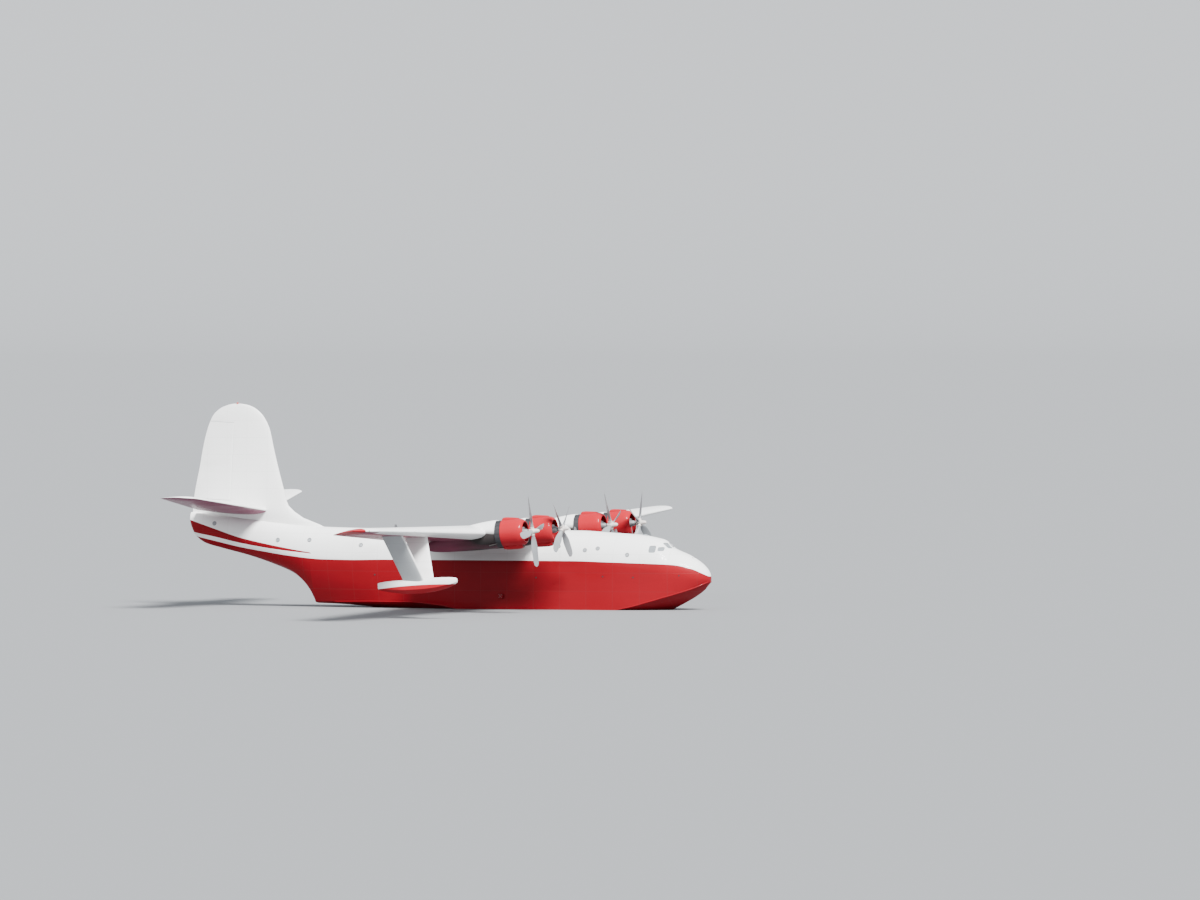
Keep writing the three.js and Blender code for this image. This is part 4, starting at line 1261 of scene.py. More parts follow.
def underside_shade_rule(places: Array) -> Array:
    """Distance ahead of the edge of the painted shade and red reflection under the wing;
    above the camber line, 0.2.

    Formula: the place is turned into chord shares along and up; below the camber line
    the value is 0.17 less the share along, times the chord.
    """
    out = np.abs(places[:, 1]) / SCALE
    chord = WING.run(1, out)
    aft = station_of(places) - WING.run(0, out)
    up = places[:, 2] / SCALE + WATERLINE - WING.run(2, out)
    cosine, sine = turn_of(WING.tilt)
    share = (cosine * aft - sine * up) / chord
    rise = (sine * aft + cosine * up) / chord
    above = rise > 4 * WING.camber * share * (1 - share)
    return np.where(above, 0.2, (0.17 - share) * chord * SCALE)


def wing_soot(places: Array) -> Array:
    """Soot behind the engines: strongest under the wing aft of each nacelle.

    Formula: two bell curves across for each engine, wider with the distance aft.
    """
    station = station_of(places)
    out = np.abs(places[:, 1]) / SCALE
    wide = 0.30 + 0.05 * np.maximum(station - 12.0, 0.0)
    bands = [np.exp(-((out - centre - offset) / wide) ** 2)
             for centre in (INNER_OUT, OUTER_OUT) for offset in (-0.75, 0.75)]
    return np.max(bands, axis=0) * np.clip((station - 11.5) / 2.0, 0.0, 1.0)


@dataclass
class Wing:
    """Cantilever wing with flaps, ailerons and tip lamps.

    Attributes:
        paint: Wing paint.
        tip: Red paint of the wing tips.
        lamps: Lenses of the port and of the starboard tip.
        moving: Name, inner end, outer end and swing of each control surface, and the
            number of rings along its bay.
        room: Full-size metres between a surface's end and its bay's.
        tip_start: Distance out at which the separate tip starts.
    """

    paint: Material
    tip: Material
    lamps: tuple[Material, Material]
    moving: tuple[tuple[str, float, float, float, int], ...] = (
        ("flap", 2.8, 16.8, 35.0, 20), ("aileron", 16.92, 27.9, 20.0, 16))
    room: float = 0.024
    tip_start: float = 28.504

    def stations(self) -> list[tuple[float, float | None]]:
        """Span stations from the middle out, each with the swing of its cove."""
        plan = [(out, None) for out in (0.0, 1.5, 2.4)]
        for _, start, stop, swing, count in self.moving:
            inner, outer = start - self.room, stop + self.room
            plan += [(inner, None), *((out, swing) for out in np.linspace(
                inner, outer, count)), (outer, None)]
        return plan + [(28.2, None), (28.5, None)]

    def build(self) -> None:
        """Builds the fixed wing, the tips, the moving surfaces and the lamps."""
        half = [WING.fixed_ring(1, out, swing) for out, swing in self.stations()]
        other = [WING.fixed_ring(-1, out, swing) for out, swing in self.stations()[1:]]
        # The "paint" mark bounds the painted shade and red reflection under the wing.
        marks = {"soot": wing_soot, "paint": underside_shade_rule, "stripe": no_stripe}
        Skin().grid(other[::-1] + half).build(
            "wing_skin", [self.paint], replaces=(
                "wing_centre", "wing_outer_left", "wing_outer_right"),
            slot="airframe_white", marks=marks)
        tips = self.tip_start + (WING.span - self.tip_start) * tip_shares(20)
        for word, side in SIDES:
            Skin().grid([WING.fixed_ring(side, out, None) for out in tips]).build(
                f"wing_tip_skin_{word}", [self.tip], replaces=(f"wing_tip_{word}",),
                slot="tip_red", marks={"paint": tip_rule, "stripe": no_stripe})
            for part, start, stop, _, _ in self.moving:
                Skin().grid(WING.moving_grid(side, start, stop)).build(
                    f"{part}_skin_{word}", [self.paint], body=f"{part}_{word}",
                    replaces=(f"{part}_{word}",), slot="airframe_white",
                    marks=marks)
        self.lights()

    def lights(self) -> None:
        """Lamp bulbs in the leading edge of both tips."""
        bulb = turned([(0.05, 0.0), (0.042, 0.012), (0.02, 0.02), (0.0, 0.023),
                       (-0.04, 0.02), (-0.08, 0.008), (-0.09, 0.0)], 20)
        for word, side, lens in zip(("port", "starboard"), (1, -1), self.lamps):
            Skin().grid(bulb + WING.points(side, 29.6, 0.03, 0.0), caps=False).build(
                f"{word}_lamp", [lens])


# Height over the keel, stations of the leading and the trailing edge, thickness.
FIN_ROWS = (
    (6.10, 26.2, 35.60, 0.40), (6.45, 27.0, 35.66, 0.50), (6.80, 27.95, 35.66, 0.62),
    (7.20, 28.57, 35.64, 0.66), (7.70, 29.05, 35.60, 0.64), (8.60, 29.30, 35.46, 0.60),
    (10.0, 29.68, 35.16, 0.53), (11.4, 30.02, 34.90, 0.46), (12.6, 30.29, 34.58, 0.40),
    (13.4, 30.70, 34.22, 0.34), (13.9, 31.22, 33.70, 0.24), (14.16, 31.8, 33.1, 0.15),
    (14.24, 32.3, 32.75, 0.08),
)
# Station and height of the ends of the rudder's hinge line, and how far it leans ahead.
RUDDER_LOW, RUDDER_TOP = (33.02, 7.95), (32.78, 13.0)
RUDDER_LEAN = (RUDDER_LOW[0] - RUDDER_TOP[0]) / (RUDDER_TOP[1] - RUDDER_LOW[1])


@dataclass
class Tail:
    """Fin with a dorsal fillet, rudder, and stabilisers with elevators.

    Attributes:
        paint: Paint of the fin and rudder.
        plane: Paint of the stabilisers and elevators.
        swing: Swing of rudder and elevators in degrees.
        bay: Inner and outer end of the elevator's bay.
        elevator: Inner and outer end of the elevator.
    """

    paint: Material
    plane: Material
    swing: float = 25.0
    bay: tuple[float, float] = (1.326, 9.724)
    elevator: tuple[float, float] = (1.37, 9.675)

    def hinge_station(self, height: float) -> float:
        """Station of the rudder hinge line at a height."""
        (s0, z0), (s1, z1) = RUDDER_LOW, RUDDER_TOP
        return s0 + (s1 - s0) * (height - z0) / (z1 - z0)

    def fin_points(self, height: float, station: Array, face: float) -> Array:
        """Surface points of the fin: half thickness to one side of the middle plane.

        Behind the hinge the height rises with the distance aft, so that the end of
        the rudder's bay is square to its hinge line.

        Args:
            height: Height over the keel at the hinge.
            station: Stations.
            face: One for the port face, minus one for the other.

        Returns:
            Points in the model frame.
        """
        behind = np.maximum(station - self.hinge_station(height), 0.0)
        at = height + behind * RUDDER_LEAN
        fore, aft, thick = smooth_table(FIN_ROWS, at).T
        u = np.clip((station - fore) / (aft - fore), 0.0, 1.0)
        half = foil_half(thick / (aft - fore), u) * (aft - fore)
        return place(station, face * half, at)

    def half_at(self, height: float) -> float:
        """Half thickness at the hinge, in model metres."""
        point = self.fin_points(height, np.array([self.hinge_station(height)]), 1.0)
        return float(point[0, 1])

    def arc(self, height: float, radius: float, start: float, stop: float,
            count: int) -> Array:
        """Arc about the rudder axis from starboard; hinge_arc gives the arguments."""
        return hinge_arc(place(self.hinge_station(height), 0.0, height), radius,
                         np.array([1.0, 0.0, -RUDDER_LEAN]), np.array([0.0, 1.0, 0.0]),
                         start, stop, count)

    def fixed_ring(self, height: float, cove: bool) -> Array:
        """Ring of the fixed fin, from the right lip round the nose to the left one.

        Args:
            height: Height over the keel.
            cove: Whether it ends at the rudder's cove; otherwise it is whole.

        Returns:
            Points of the ring.
        """
        fore, aft, _ = smooth_table(FIN_ROWS, [height])[0]
        lip = self.hinge_station(height)
        if cove:
            radius, ahead, tip = cove_of(self.half_at(height), self.swing)
            lip -= ahead / SCALE
            back = self.arc(height, radius, 180.0 - tip, tip, 14)[1:-1]
        else:
            v = np.linspace(lip, aft, 7)[1:]
            back = np.concatenate([self.fin_points(height, v, 1.0),
                                   self.fin_points(height, v[::-1], -1.0)])
        at = fore + (lip - fore) * eased(26) ** 1.1
        return np.concatenate([self.fin_points(height, at[::-1], -1.0),
                               self.fin_points(height, at[1:], 1.0), back])

    def fin(self) -> None:
        """Fixed fin as one closed skin, then the rudder behind it."""
        gap = 0.012 / SCALE
        low, top = RUDDER_LOW[1] - gap, RUDDER_TOP[1] + gap
        tips = 13.2 + 1.04 * np.sin(np.radians(np.linspace(4, 90, 14)))
        plan = ([(v, False) for v in (6.10, 6.4, 6.8, 7.2, 7.6, low)]
                + [(v, True) for v in np.linspace(low, top, 18)]
                + [(v, False) for v in (top, *tips)])
        grid = [self.fixed_ring(height, cove) for height, cove in plan]
        Skin().grid(grid).build("fin_skin", [self.paint], replaces=("fin",),
                                slot="airframe_white")
        rings = []
        for height in np.linspace(RUDDER_LOW[1], RUDDER_TOP[1], 20):
            aft = smooth_table(FIN_ROWS, [height])[0, 1]
            at = np.linspace(self.hinge_station(height), aft, 12)
            nose = self.arc(height, 0.96 * self.half_at(height), 0.0, 180.0, 15)
            rings.append(np.concatenate([self.fin_points(height, at, 1.0),
                                         self.fin_points(height, at[::-1], -1.0), nose]))
        Skin().grid(rings).build("rudder_skin", [self.paint], body="rudder",
                                 replaces=("rudder",), slot="airframe_white")

    def build(self) -> None:
        """Builds the fin and rudder, then both stabilisers and elevators."""
        self.fin()
        inner, outer = self.bay
        plan = ([(out, None) for out in (0.30, 0.9, inner)]
                + [(out, self.swing) for out in np.linspace(inner, outer, 18)]
                + [(out, None) for out in outer + (STAB.span - outer) * tip_shares(16)])
        for word, side in SIDES:
            grid = [STAB.fixed_ring(side, out, swing) for out, swing in plan]
            Skin().grid(grid).build(f"stabiliser_skin_{word}", [self.plane],
                                    replaces=(f"stabiliser_{word}",),
                                    slot="airframe_white")
            Skin().grid(STAB.moving_grid(side, *self.elevator, 20)).build(
                f"elevator_skin_{word}", [self.plane], body=f"elevator_{word}",
                replaces=(f"elevator_{word}",), slot="airframe_white")


# Share of the length, half width, keel, chine and deck heights over the lowest point.
FLOAT_ROWS = (
    (0.000, 0.07, 0.60, 0.67, 0.84), (0.025, 0.17, 0.49, 0.60, 0.90),
    (0.10, 0.30, 0.32, 0.50, 0.95), (0.25, 0.41, 0.14, 0.38, 0.98),
    (0.45, 0.46, 0.04, 0.32, 0.98), (0.62, 0.45, 0.06, 0.33, 0.97),
    (0.80, 0.37, 0.19, 0.40, 0.95), (0.93, 0.25, 0.33, 0.48, 0.92),
    (1.00, 0.12, 0.43, 0.53, 0.87),
)


@dataclass
class WingFloat:
    """Stabilising float on two splayed streamlined legs.

    Attributes:
        word: Side of the aircraft.
        side: 1 for port, -1 for starboard.
        paint: Two-tone paint of the float.
        leg_paint: Paint of the legs.
        nose: Station of the nose, distance out, and height of its base over the keel.
        length: Length in full-size metres.
        pitch: Degrees by which the nose is lowered.
        chord: Chord of the legs.
        thick: Thickness of the legs.
    """

    word: str
    side: int
    paint: Material
    leg_paint: Material
    nose: tuple[float, float, float] = (9.82, 21.0, 2.78)
    length: float = 5.3
    pitch: float = 4.0
    chord: float = 1.45
    thick: float = 0.2

    def put(self, aft: Array, across: Array, up: Array) -> Array:
        """Places float coordinates: metres aft of the nose, across and over its base."""
        cosine, sine = turn_of(self.pitch)
        station, out, height = self.nose
        return place(station + (aft * cosine + up * sine), self.side * out + across,
                     height + (up * cosine - aft * sine))

    def body(self) -> Array:
        """Rings of the float: V bottom, hard chine, rounded deck."""
        share = eased(44)
        half, keel, chine, deck = (c[:, None] for c in smooth_table(FLOAT_ROWS, share).T)
        u = np.linspace(0, 1, 7)[None]
        low = np.stack([0.02 * (1 - u) + half * u,
                        keel + (chine - keel) * (0.9 * u**1.1 + 0.1 * u**3)], -1)
        angle = np.radians(np.linspace(0, 90, 15))[None, 1:]
        arch = np.stack([half * np.cos(angle) ** 0.5,
                         chine + (deck - chine) * np.sin(angle) ** 0.8], -1)
        ring = mirrored(np.concatenate([low, arch], 1))
        return self.put(self.length * share[:, None], ring[..., 0], ring[..., 1])

    def leg(self, splay: float, ahead: float) -> Array:
        """Rings of a leg: a symmetric aerofoil carried from foot to head.

        Args:
            splay: One for the outboard leg, minus one for the inboard one.
            ahead: Distance ahead of the outboard leg.

        Returns:
            Grid of rings, wider at both ends.
        """
        out = self.nose[1]
        foot = np.array([12.60 - ahead, self.side * (out + splay * 0.2), 3.30])
        head = np.array([13.68 - ahead, self.side * (out + splay * 1.75), 6.5])
        share = np.linspace(0.0, 1.0, 14)
        middle = foot + (head - foot) * share[:, None]
        across = np.cross([1.0, 0.0, 0.0], (head - foot) / np.linalg.norm(head - foot))
        across /= np.linalg.norm(across)
        chordwise, sideways = foil_loop(self.thick / self.chord, 18)
        flare = 1 + 0.35 * np.exp(-share / 0.05) + 0.35 * np.exp((share - 0.93) / 0.05)
        flare = np.minimum(flare, 1.5)[:, None]
        full = (middle[:, None]
                + ((chordwise - 0.5) * self.chord)[None, :, None] * [1.0, 0.0, 0.0]
                + (sideways * self.chord * flare)[..., None] * across)
        return place(full[..., 0], full[..., 1], full[..., 2])

    def paint_rule(self, places: Array) -> Array:
        """Height over the float's waterline, a slight arch; red below."""
        station = station_of(places)
        line = 3.37 - 0.07 * (station - self.nose[0]) - 0.015 * (station - 12.47) ** 2
        return (places[:, 2] / SCALE + WATERLINE - line) * SCALE

    def build(self) -> None:
        """Builds the float and its legs."""
        Skin().grid(self.body()).build(
            f"float_skin_{self.word}", [self.paint], replaces=(f"float_{self.word}",),
            slot="airframe_white", angle=24.0,
            marks={"paint": self.paint_rule, "stripe": no_stripe})
        for name, splay, ahead in (("outboard", 1.0, 0.0), ("inboard", -1.0, 0.42)):
            Skin().grid(self.leg(splay, ahead)).build(
                f"float_leg_{name}_{self.word}", [self.leg_paint],
                replaces=(f"float_strut_{name}_{self.word}",), slot="airframe_white")


# Distance behind the hub, half width, half height and lift of the nacelle's sections.
NACELLE_ROWS = (
    (2.28, 0.86, 0.88, 0.02), (2.6, 0.84, 0.90, 0.00), (3.6, 0.76, 0.86, -0.06),
    (4.8, 0.60, 0.74, -0.16), (6.0, 0.40, 0.56, -0.30), (6.9, 0.22, 0.34, -0.42),
    (7.3, 0.08, 0.12, -0.48),
)
# Blade sections: radius, half chord, half thickness in metres, pitch in degrees.
BLADE_ROWS = (
    (0.16, 0.10, 0.10, 60.0), (0.34, 0.11, 0.10, 56.0), (0.62, 0.17, 0.055, 46.0),
    (1.15, 0.24, 0.034, 36.0), (1.8, 0.235, 0.022, 28.0), (2.2, 0.18, 0.014, 24.0),
    (2.31, 0.09, 0.009, 22.0),
)
# Cowl profile: place along X and radius, outside from the lip aft, inside forward again.
COWL_OUTER = (
    (-0.455, 0.660), (-0.460, 0.690), (-0.483, 0.735), (-0.54, 0.790), (-0.64, 0.840),
    (-0.78, 0.878), (-0.98, 0.899), (-1.40, 0.90), (-1.93, 0.896),
)
COWL_INNER = (
    (-1.93, 0.872), (-1.40, 0.866), (-0.98, 0.855), (-0.80, 0.81), (-0.66, 0.735),
    (-0.56, 0.662), (-0.50, 0.632), (-0.468, 0.636),
)
# Scoops over (1) and under (-1) the cowl: place along X, half width, height.
SCOOP_ROWS = {
    1: ((-1.93, 0.20, 0.055), (-1.86, 0.23, 0.125), (-1.70, 0.235, 0.135),
        (-1.40, 0.22, 0.105), (-1.08, 0.19, 0.065), (-0.86, 0.15, 0.035)),
    -1: ((-1.93, 0.30, 0.110), (-1.70, 0.34, 0.145), (-1.30, 0.35, 0.160),
         (-0.92, 0.33, 0.165), (-0.74, 0.29, 0.155), (-0.66, 0.25, 0.125)),
}
# Height over the keel of the edge of the painted shade and red reflection low on the
# nacelles.
NACELLE_SHADE_LINE = 5.90


def nacelle_shade_rule(places: Array) -> Array:
    """Height over the edge of the painted shade on the nacelles, in model metres."""
    return places[:, 2] - (NACELLE_SHADE_LINE - WATERLINE) * SCALE


@dataclass
class EngineUnit:
    """One engine: cowl with scoops, cowl flaps, two rows of finned cylinders, propeller.

    Its methods work in full-size metres about the hub, X ahead.

    Attributes:
        word: Place of the engine on the wing.
        side: 1 for port, -1 for starboard.
        out: Distance out from the centreline, full size.
        parked: Angle of the resting propeller in degrees.
        finishes: Shared finishes.
        hub: Station and height of the hub.
        tilt: Degrees by which the thrust line rises ahead.
        blades: Number of blades.
        root: Radius at which a blade starts.
        reach: Length of a blade from there.
    """

    word: str
    side: int
    out: float
    parked: float
    finishes: Finishes
    hub: tuple[float, float] = (8.45, 6.34)
    tilt: float = 5.0
    blades: int = 4
    root: float = 0.16
    reach: float = 2.15

    def put(self, grid: Array) -> Array:
        """Moves local full-size points onto the tilted thrust line."""
        cosine, sine = turn_of(self.tilt)
        turn = np.array([[cosine, 0.0, -sine], [0.0, 1.0, 0.0], [sine, 0.0, cosine]])
        hub = place(self.hub[0], self.side * self.out, self.hub[1])
        return hub + (grid * SCALE) @ turn.T

    def cowl(self) -> None:
        """Ring cowl as a closed lathe form, its edges rolled, with two scoops."""
        ring = turned(COWL_OUTER + COWL_INNER + COWL_OUTER[:1], 72)
        Skin().grid(self.put(ring), caps=False).grid(self.put(self.scoop(-1))).grid(
            self.put(self.scoop(1))).build(
            f"cowl_skin_{self.word}", [self.finishes.cowl],
            replaces=(f"cowl_{self.word}",), slot="cowl_red", angle=40.0)
        # A dark plate as painted shade in the chin scoop's intake.
        Skin().grid(self.put(self.mouth_shade_plate())).build(
            f"scoop_shade_plate_{self.word}", [self.finishes.soot])

    def scoop(self, side: int) -> Array:
        """Scoop blister on the cowl.

        Formula: superellipse sections sunk in the cowl wall, their height and width
        read from a table along X.

        Args:
            side: Minus one for the scoop under the cowl, one for that over it.

        Returns:
            Grid of rings.
        """
        rows = SCOOP_ROWS[side]
        along = np.linspace(rows[0][0], rows[-1][0], 22)
        wide, tall = (c[:, None] for c in smooth_table(rows, along).T)
        wall = np.interp(along, *np.array(COWL_OUTER[:3:-1]).T)[:, None]
        y, z = squared(round_angles(32), 0.8)
        sink = 0.035 + tall
        return np.stack([along[:, None] + 0 * y, wide * y,
                         side * (wall + (tall - sink) / 2 + (tall + sink) / 2 * z)], -1)

    def mouth_shade_plate(self) -> Array:
        """Dark superellipse plate set in the front of the chin scoop, painted shade standing
        for the inside of its intake.
        """
        y, z = squared(round_angles(24), 0.7)
        return np.array([np.stack([x + 0 * y, 0.1955 * y, 0.065 * z - 0.87], -1)
                         for x in (-0.655, -0.75)])

    def flaps(self) -> None:
        """Cowl flaps: curved plates on both sides behind the cowl, and a dark drum in their
        gap, painted shade with soot.
        """
        skin = Skin()
        plates, gap, thick = 20, 72.0, 0.014
        for index in range(plates):
            middle = 2 * np.pi * (index + 0.5) / plates
            from_top = abs((np.degrees(middle) + 90) % 360 - 180)
            if abs(from_top - 90) > gap:
                continue
            across = middle + np.linspace(-0.5, 0.5, 7) * 2 * np.pi / plates * 0.94
            skin.grid(self.put(np.array([
                np.concatenate([spoke(x, radius, across),
                                spoke(x, radius - thick, across)[::-1]])
                for x, radius in ((-1.95, 0.888), (-2.1, 0.898), (-2.28, 0.912))])))
        # The dark drum is painted shade with soot in the gap of the open flaps.
        drum = turned([(-1.90, 0.80), (-1.94, 0.862), (-2.27, 0.852), (-2.29, 0.80)], 60)
        skin.grid(self.put(drum), slot=1)
        skin.build(f"cowl_flaps_{self.word}", [self.finishes.dark, self.finishes.soot],
                   angle=40.0)

    def cylinder_axes(self, row: int) -> list[tuple[Array, Array]]:
        """Outward and sideways directions of the nine cylinders of a row."""
        return [directions(2 * math.pi * (index + 0.5 * row) / 9) for index in range(9)]

    def cylinders(self) -> None:
        """Finned barrels in two staggered rows."""
        fins = np.linspace(0.40, 0.76, 19)
        profile = [(0.30, 0.0), (0.30, 0.105)]
        for low, high in zip(fins[:-1], fins[1:]):
            wide = 0.150 if low < 0.58 else 0.165
            profile += [(low, 0.115), (low + 0.004, wide), (low + 0.012, wide),
                        (high - 0.004, 0.115)]
        barrel = turned([*profile, (0.765, 0.12), (0.785, 0.07), (0.79, 0.0)], 14)
        skin = Skin()
        for row, x in ((0, -1.20), (1, -1.64)):
            for outward, sideways in self.cylinder_axes(row):
                turn = np.stack([outward, [1.0, 0.0, 0.0], sideways], 1)
                skin.grid(self.put(barrel @ turn.T + [x, 0.0, 0.0]), caps=False)
        skin.build(f"cylinders_{self.word}", [self.finishes.cylinder],
                   replaces=(f"engine_{self.word}",), slot="engine_metal", angle=25.0)

    def rods(self) -> None:
        """Push rods, their boxes and the leads of the front row, and the lead ring."""
        skin = Skin()
        share = np.linspace(0, 1, 9)[:, None]
        bead = turned([(0.05, 0.0), (0.045, 0.03), (0.0, 0.042), (-0.045, 0.03),
                       (-0.05, 0.0)], 10)
        for outward, sideways in self.cylinder_axes(0):
            for shift in (-0.07, 0.07):
                foot = [-1.00, 0, 0] + outward * 0.30 + sideways * shift
                head = [-1.05, 0, 0] + outward * 0.70 + sideways * shift
                path = foot + (head - foot) * np.linspace(0, 1, 5)[:, None]
                skin.grid(self.put(tube(path, 0.016, 8)))
                box = [-1.10, 0, 0] + outward * 0.73 + sideways * shift
                skin.grid(self.put(bead + box), caps=False)
            lead = (share * [-0.03, 0, 0] + [-1.00, 0, 0] + outward * (0.36 + 0.36 * share)
                    + sideways * 0.05 * np.sin(3 * share))
            skin.grid(self.put(tube(lead, 0.009, 6)))
        ring = spoke(-0.93, 0.37, np.linspace(0, 2 * np.pi, 41))
        skin.grid(self.put(tube(ring, 0.02, 8)), caps=False)
        skin.build(f"push_rods_{self.word}", [self.finishes.dark])

    def case(self) -> None:
        """Crankcase, domed nose case with a bolt ring, governor and two pumps."""
        skin = Skin().grid(self.put(turned([
            (-2.28, 0.0), (-2.28, 0.62), (-1.90, 0.62), (-1.86, 0.36), (-0.98, 0.35),
            (-0.92, 0.33), (-0.90, 0.36), (-0.88, 0.36), (-0.86, 0.30), (-0.70, 0.27),
            (-0.50, 0.21), (-0.34, 0.165), (-0.30, 0.13), (-0.26, 0.125), (-0.26, 0.055),
            (0.05, 0.055), (0.05, 0.0)])), caps=False)
        bolt = turned([(0.0, 0.0), (0.0, 0.012), (0.018, 0.012), (0.022, 0.0)], 6)
        governor = turned([(-0.80, 0.0), (-0.80, 0.055), (-0.58, 0.055), (-0.56, 0.03),
                           (-0.50, 0.03), (-0.50, 0.0)], 20)
        pump = turned([(-0.80, 0.0), (-0.80, 0.07), (-0.66, 0.07), (-0.63, 0.04),
                       (-0.63, 0.0)], 20)
        spots = [(bolt, spoke(-0.88, 0.345, turn)) for turn in round_angles(24)]
        spots += [(governor, np.array([0.0, 0.0, 0.27]))]
        spots += [(pump, spoke(0.0, 0.25, turn)) for turn in (0.6, 2.5)]
        for form, spot in spots:
            skin.grid(self.put(form + spot), caps=False)
        skin.build(f"nose_case_{self.word}", [self.finishes.case], slot="engine_metal")

    def nacelle(self) -> None:
        """Tapering fairing under and over the wing, with an exhaust each side."""
        at = 2.28 + 5.05 * np.linspace(0, 1, 40)
        wide, high, lift = (c[:, None] for c in smooth_table(NACELLE_ROWS, at).T)
        y, z = squared(round_angles(48), 0.94)
        grid = np.stack([-at[:, None] + 0 * y, wide * y, lift + high * z], -1)
        # Below that edge the nacelle takes painted shade with a painted reflection of the red
        # hull.
        Skin().grid(self.put(grid)).build(
            f"nacelle_skin_{self.word}", [self.finishes.nacelle],
            replaces=(f"nacelle_{self.word}",), slot="airframe_white",
            marks={"soot": self.soot, "stripe": no_stripe, "paint": nacelle_shade_rule})
        pipes = Skin()
        for side in (-1, 1):
            path = (np.array([-2.2, side * 0.60, -0.62])
                    + np.linspace(0, 1, 9)[:, None] * [-0.55, side * 0.10, -0.10])
            pipes.grid(self.put(tube(path, 0.085, 20, 0.8)))
            pipes.grid(self.put(tube(path[-2:] + [-0.004, 0, 0], 0.07, 20, 0.8)), slot=1)
        pipes.build(f"exhausts_{self.word}", [self.finishes.exhaust, self.finishes.soot],
                    slot="engine_metal")

    def soot(self, places: Array) -> Array:
        """Soot along the lower sides of the nacelle, growing aft of the exhausts."""
        hub = self.put(np.zeros(3))
        aft = (hub[0] - places[:, 0]) / SCALE
        low = (hub[2] - places[:, 2]) / SCALE + 0.05 * aft
        fade = np.clip(1.0 - (aft - 3.4) / 2.4, 0.15, 1.0)
        return np.clip((aft - 1.7) / 0.5, 0, 1) * np.clip((low - 0.05) / 0.35, 0, 1) * fade

    def blade(self) -> tuple[Array, Array, Array]:
        """Sections of one blade, read from a table along its radius.

        Formula: a flat-bottomed hump over a cosine across, round at the root, turned by
        the pitch; the chord ends in a square root at the tip.

        Returns:
            Places ahead and sideways, each of rings by corners, and the radii.
        """
        share = np.concatenate([np.linspace(0, 0.94, 30), np.linspace(0.955, 1.0, 8)])
        radius = self.root + self.reach * share
        half, thick, pitch = smooth_table(BLADE_ROWS, radius).T
        round_tip = np.sqrt(np.clip((2.312 - radius) / 0.11, 0.0, 1.0))
        half = half * np.where(radius > 2.2, np.maximum(round_tip, 0.12), 1.0)
        round_root = np.clip((0.62 - radius) / 0.30, 0.0, 1.0)[:, None]
        cosine, sine = squared(round_angles(26), 1)
        flat = 0.55 * sine * np.where(sine > 0, 1.5, 0.5) * 1.25
        surface = (flat * (1 - round_root) + sine * round_root) * thick[:, None]
        chordwise = cosine * half[:, None]
        tilt = np.radians(pitch)[:, None]
        return (chordwise * np.sin(tilt) + surface * np.cos(tilt),
                -chordwise * np.cos(tilt) + surface * np.sin(tilt), radius)

    def propeller(self) -> None:
        """Blades with curved sections on a barrel hub with a dome."""
        ahead, sideways, radius = self.blade()
        skin = Skin()
        axes = [directions(math.radians(self.parked + 360 / self.blades * index))
                for index in range(self.blades)]
        for across, outward in axes:
            skin.grid(self.put(ahead[..., None] * [1.0, 0.0, 0.0]
                               + sideways[..., None] * across
                               + radius[:, None, None] * outward))
        dome = [(-0.20, 0.058), (-0.20, 0.155), (-0.12, 0.175), (0.0, 0.185),
                (0.12, 0.17), (0.18, 0.14), (0.21, 0.135), (0.34, 0.125), (0.42, 0.10),
                (0.47, 0.06), (0.49, 0.0), (0.06, 0.0), (0.06, 0.058), (-0.20, 0.058)]
        skin.grid(self.put(turned(dome, 40)), caps=False, slot=1)
        for _, outward in axes:
            for low, high, wide in ((0.10, 0.235, 0.125), (0.235, 0.265, 0.138)):
                path = np.array([outward * low, outward * high])
                skin.grid(self.put(tube(path, wide, 26)), slot=1)
        skin.build(f"propeller_skin_{self.word}",
                   [self.finishes.blade, self.finishes.hub],
                   body=f"propeller_{self.word}", replaces=(f"propeller_{self.word}",),
                   slot="propeller_paint", angle=35.0)

    def build(self) -> None:
        """Builds the whole unit from the nose aft."""
        self.propeller()
        self.case()
        self.cylinders()
        self.rods()
        self.cowl()
        self.flaps()
        self.nacelle()


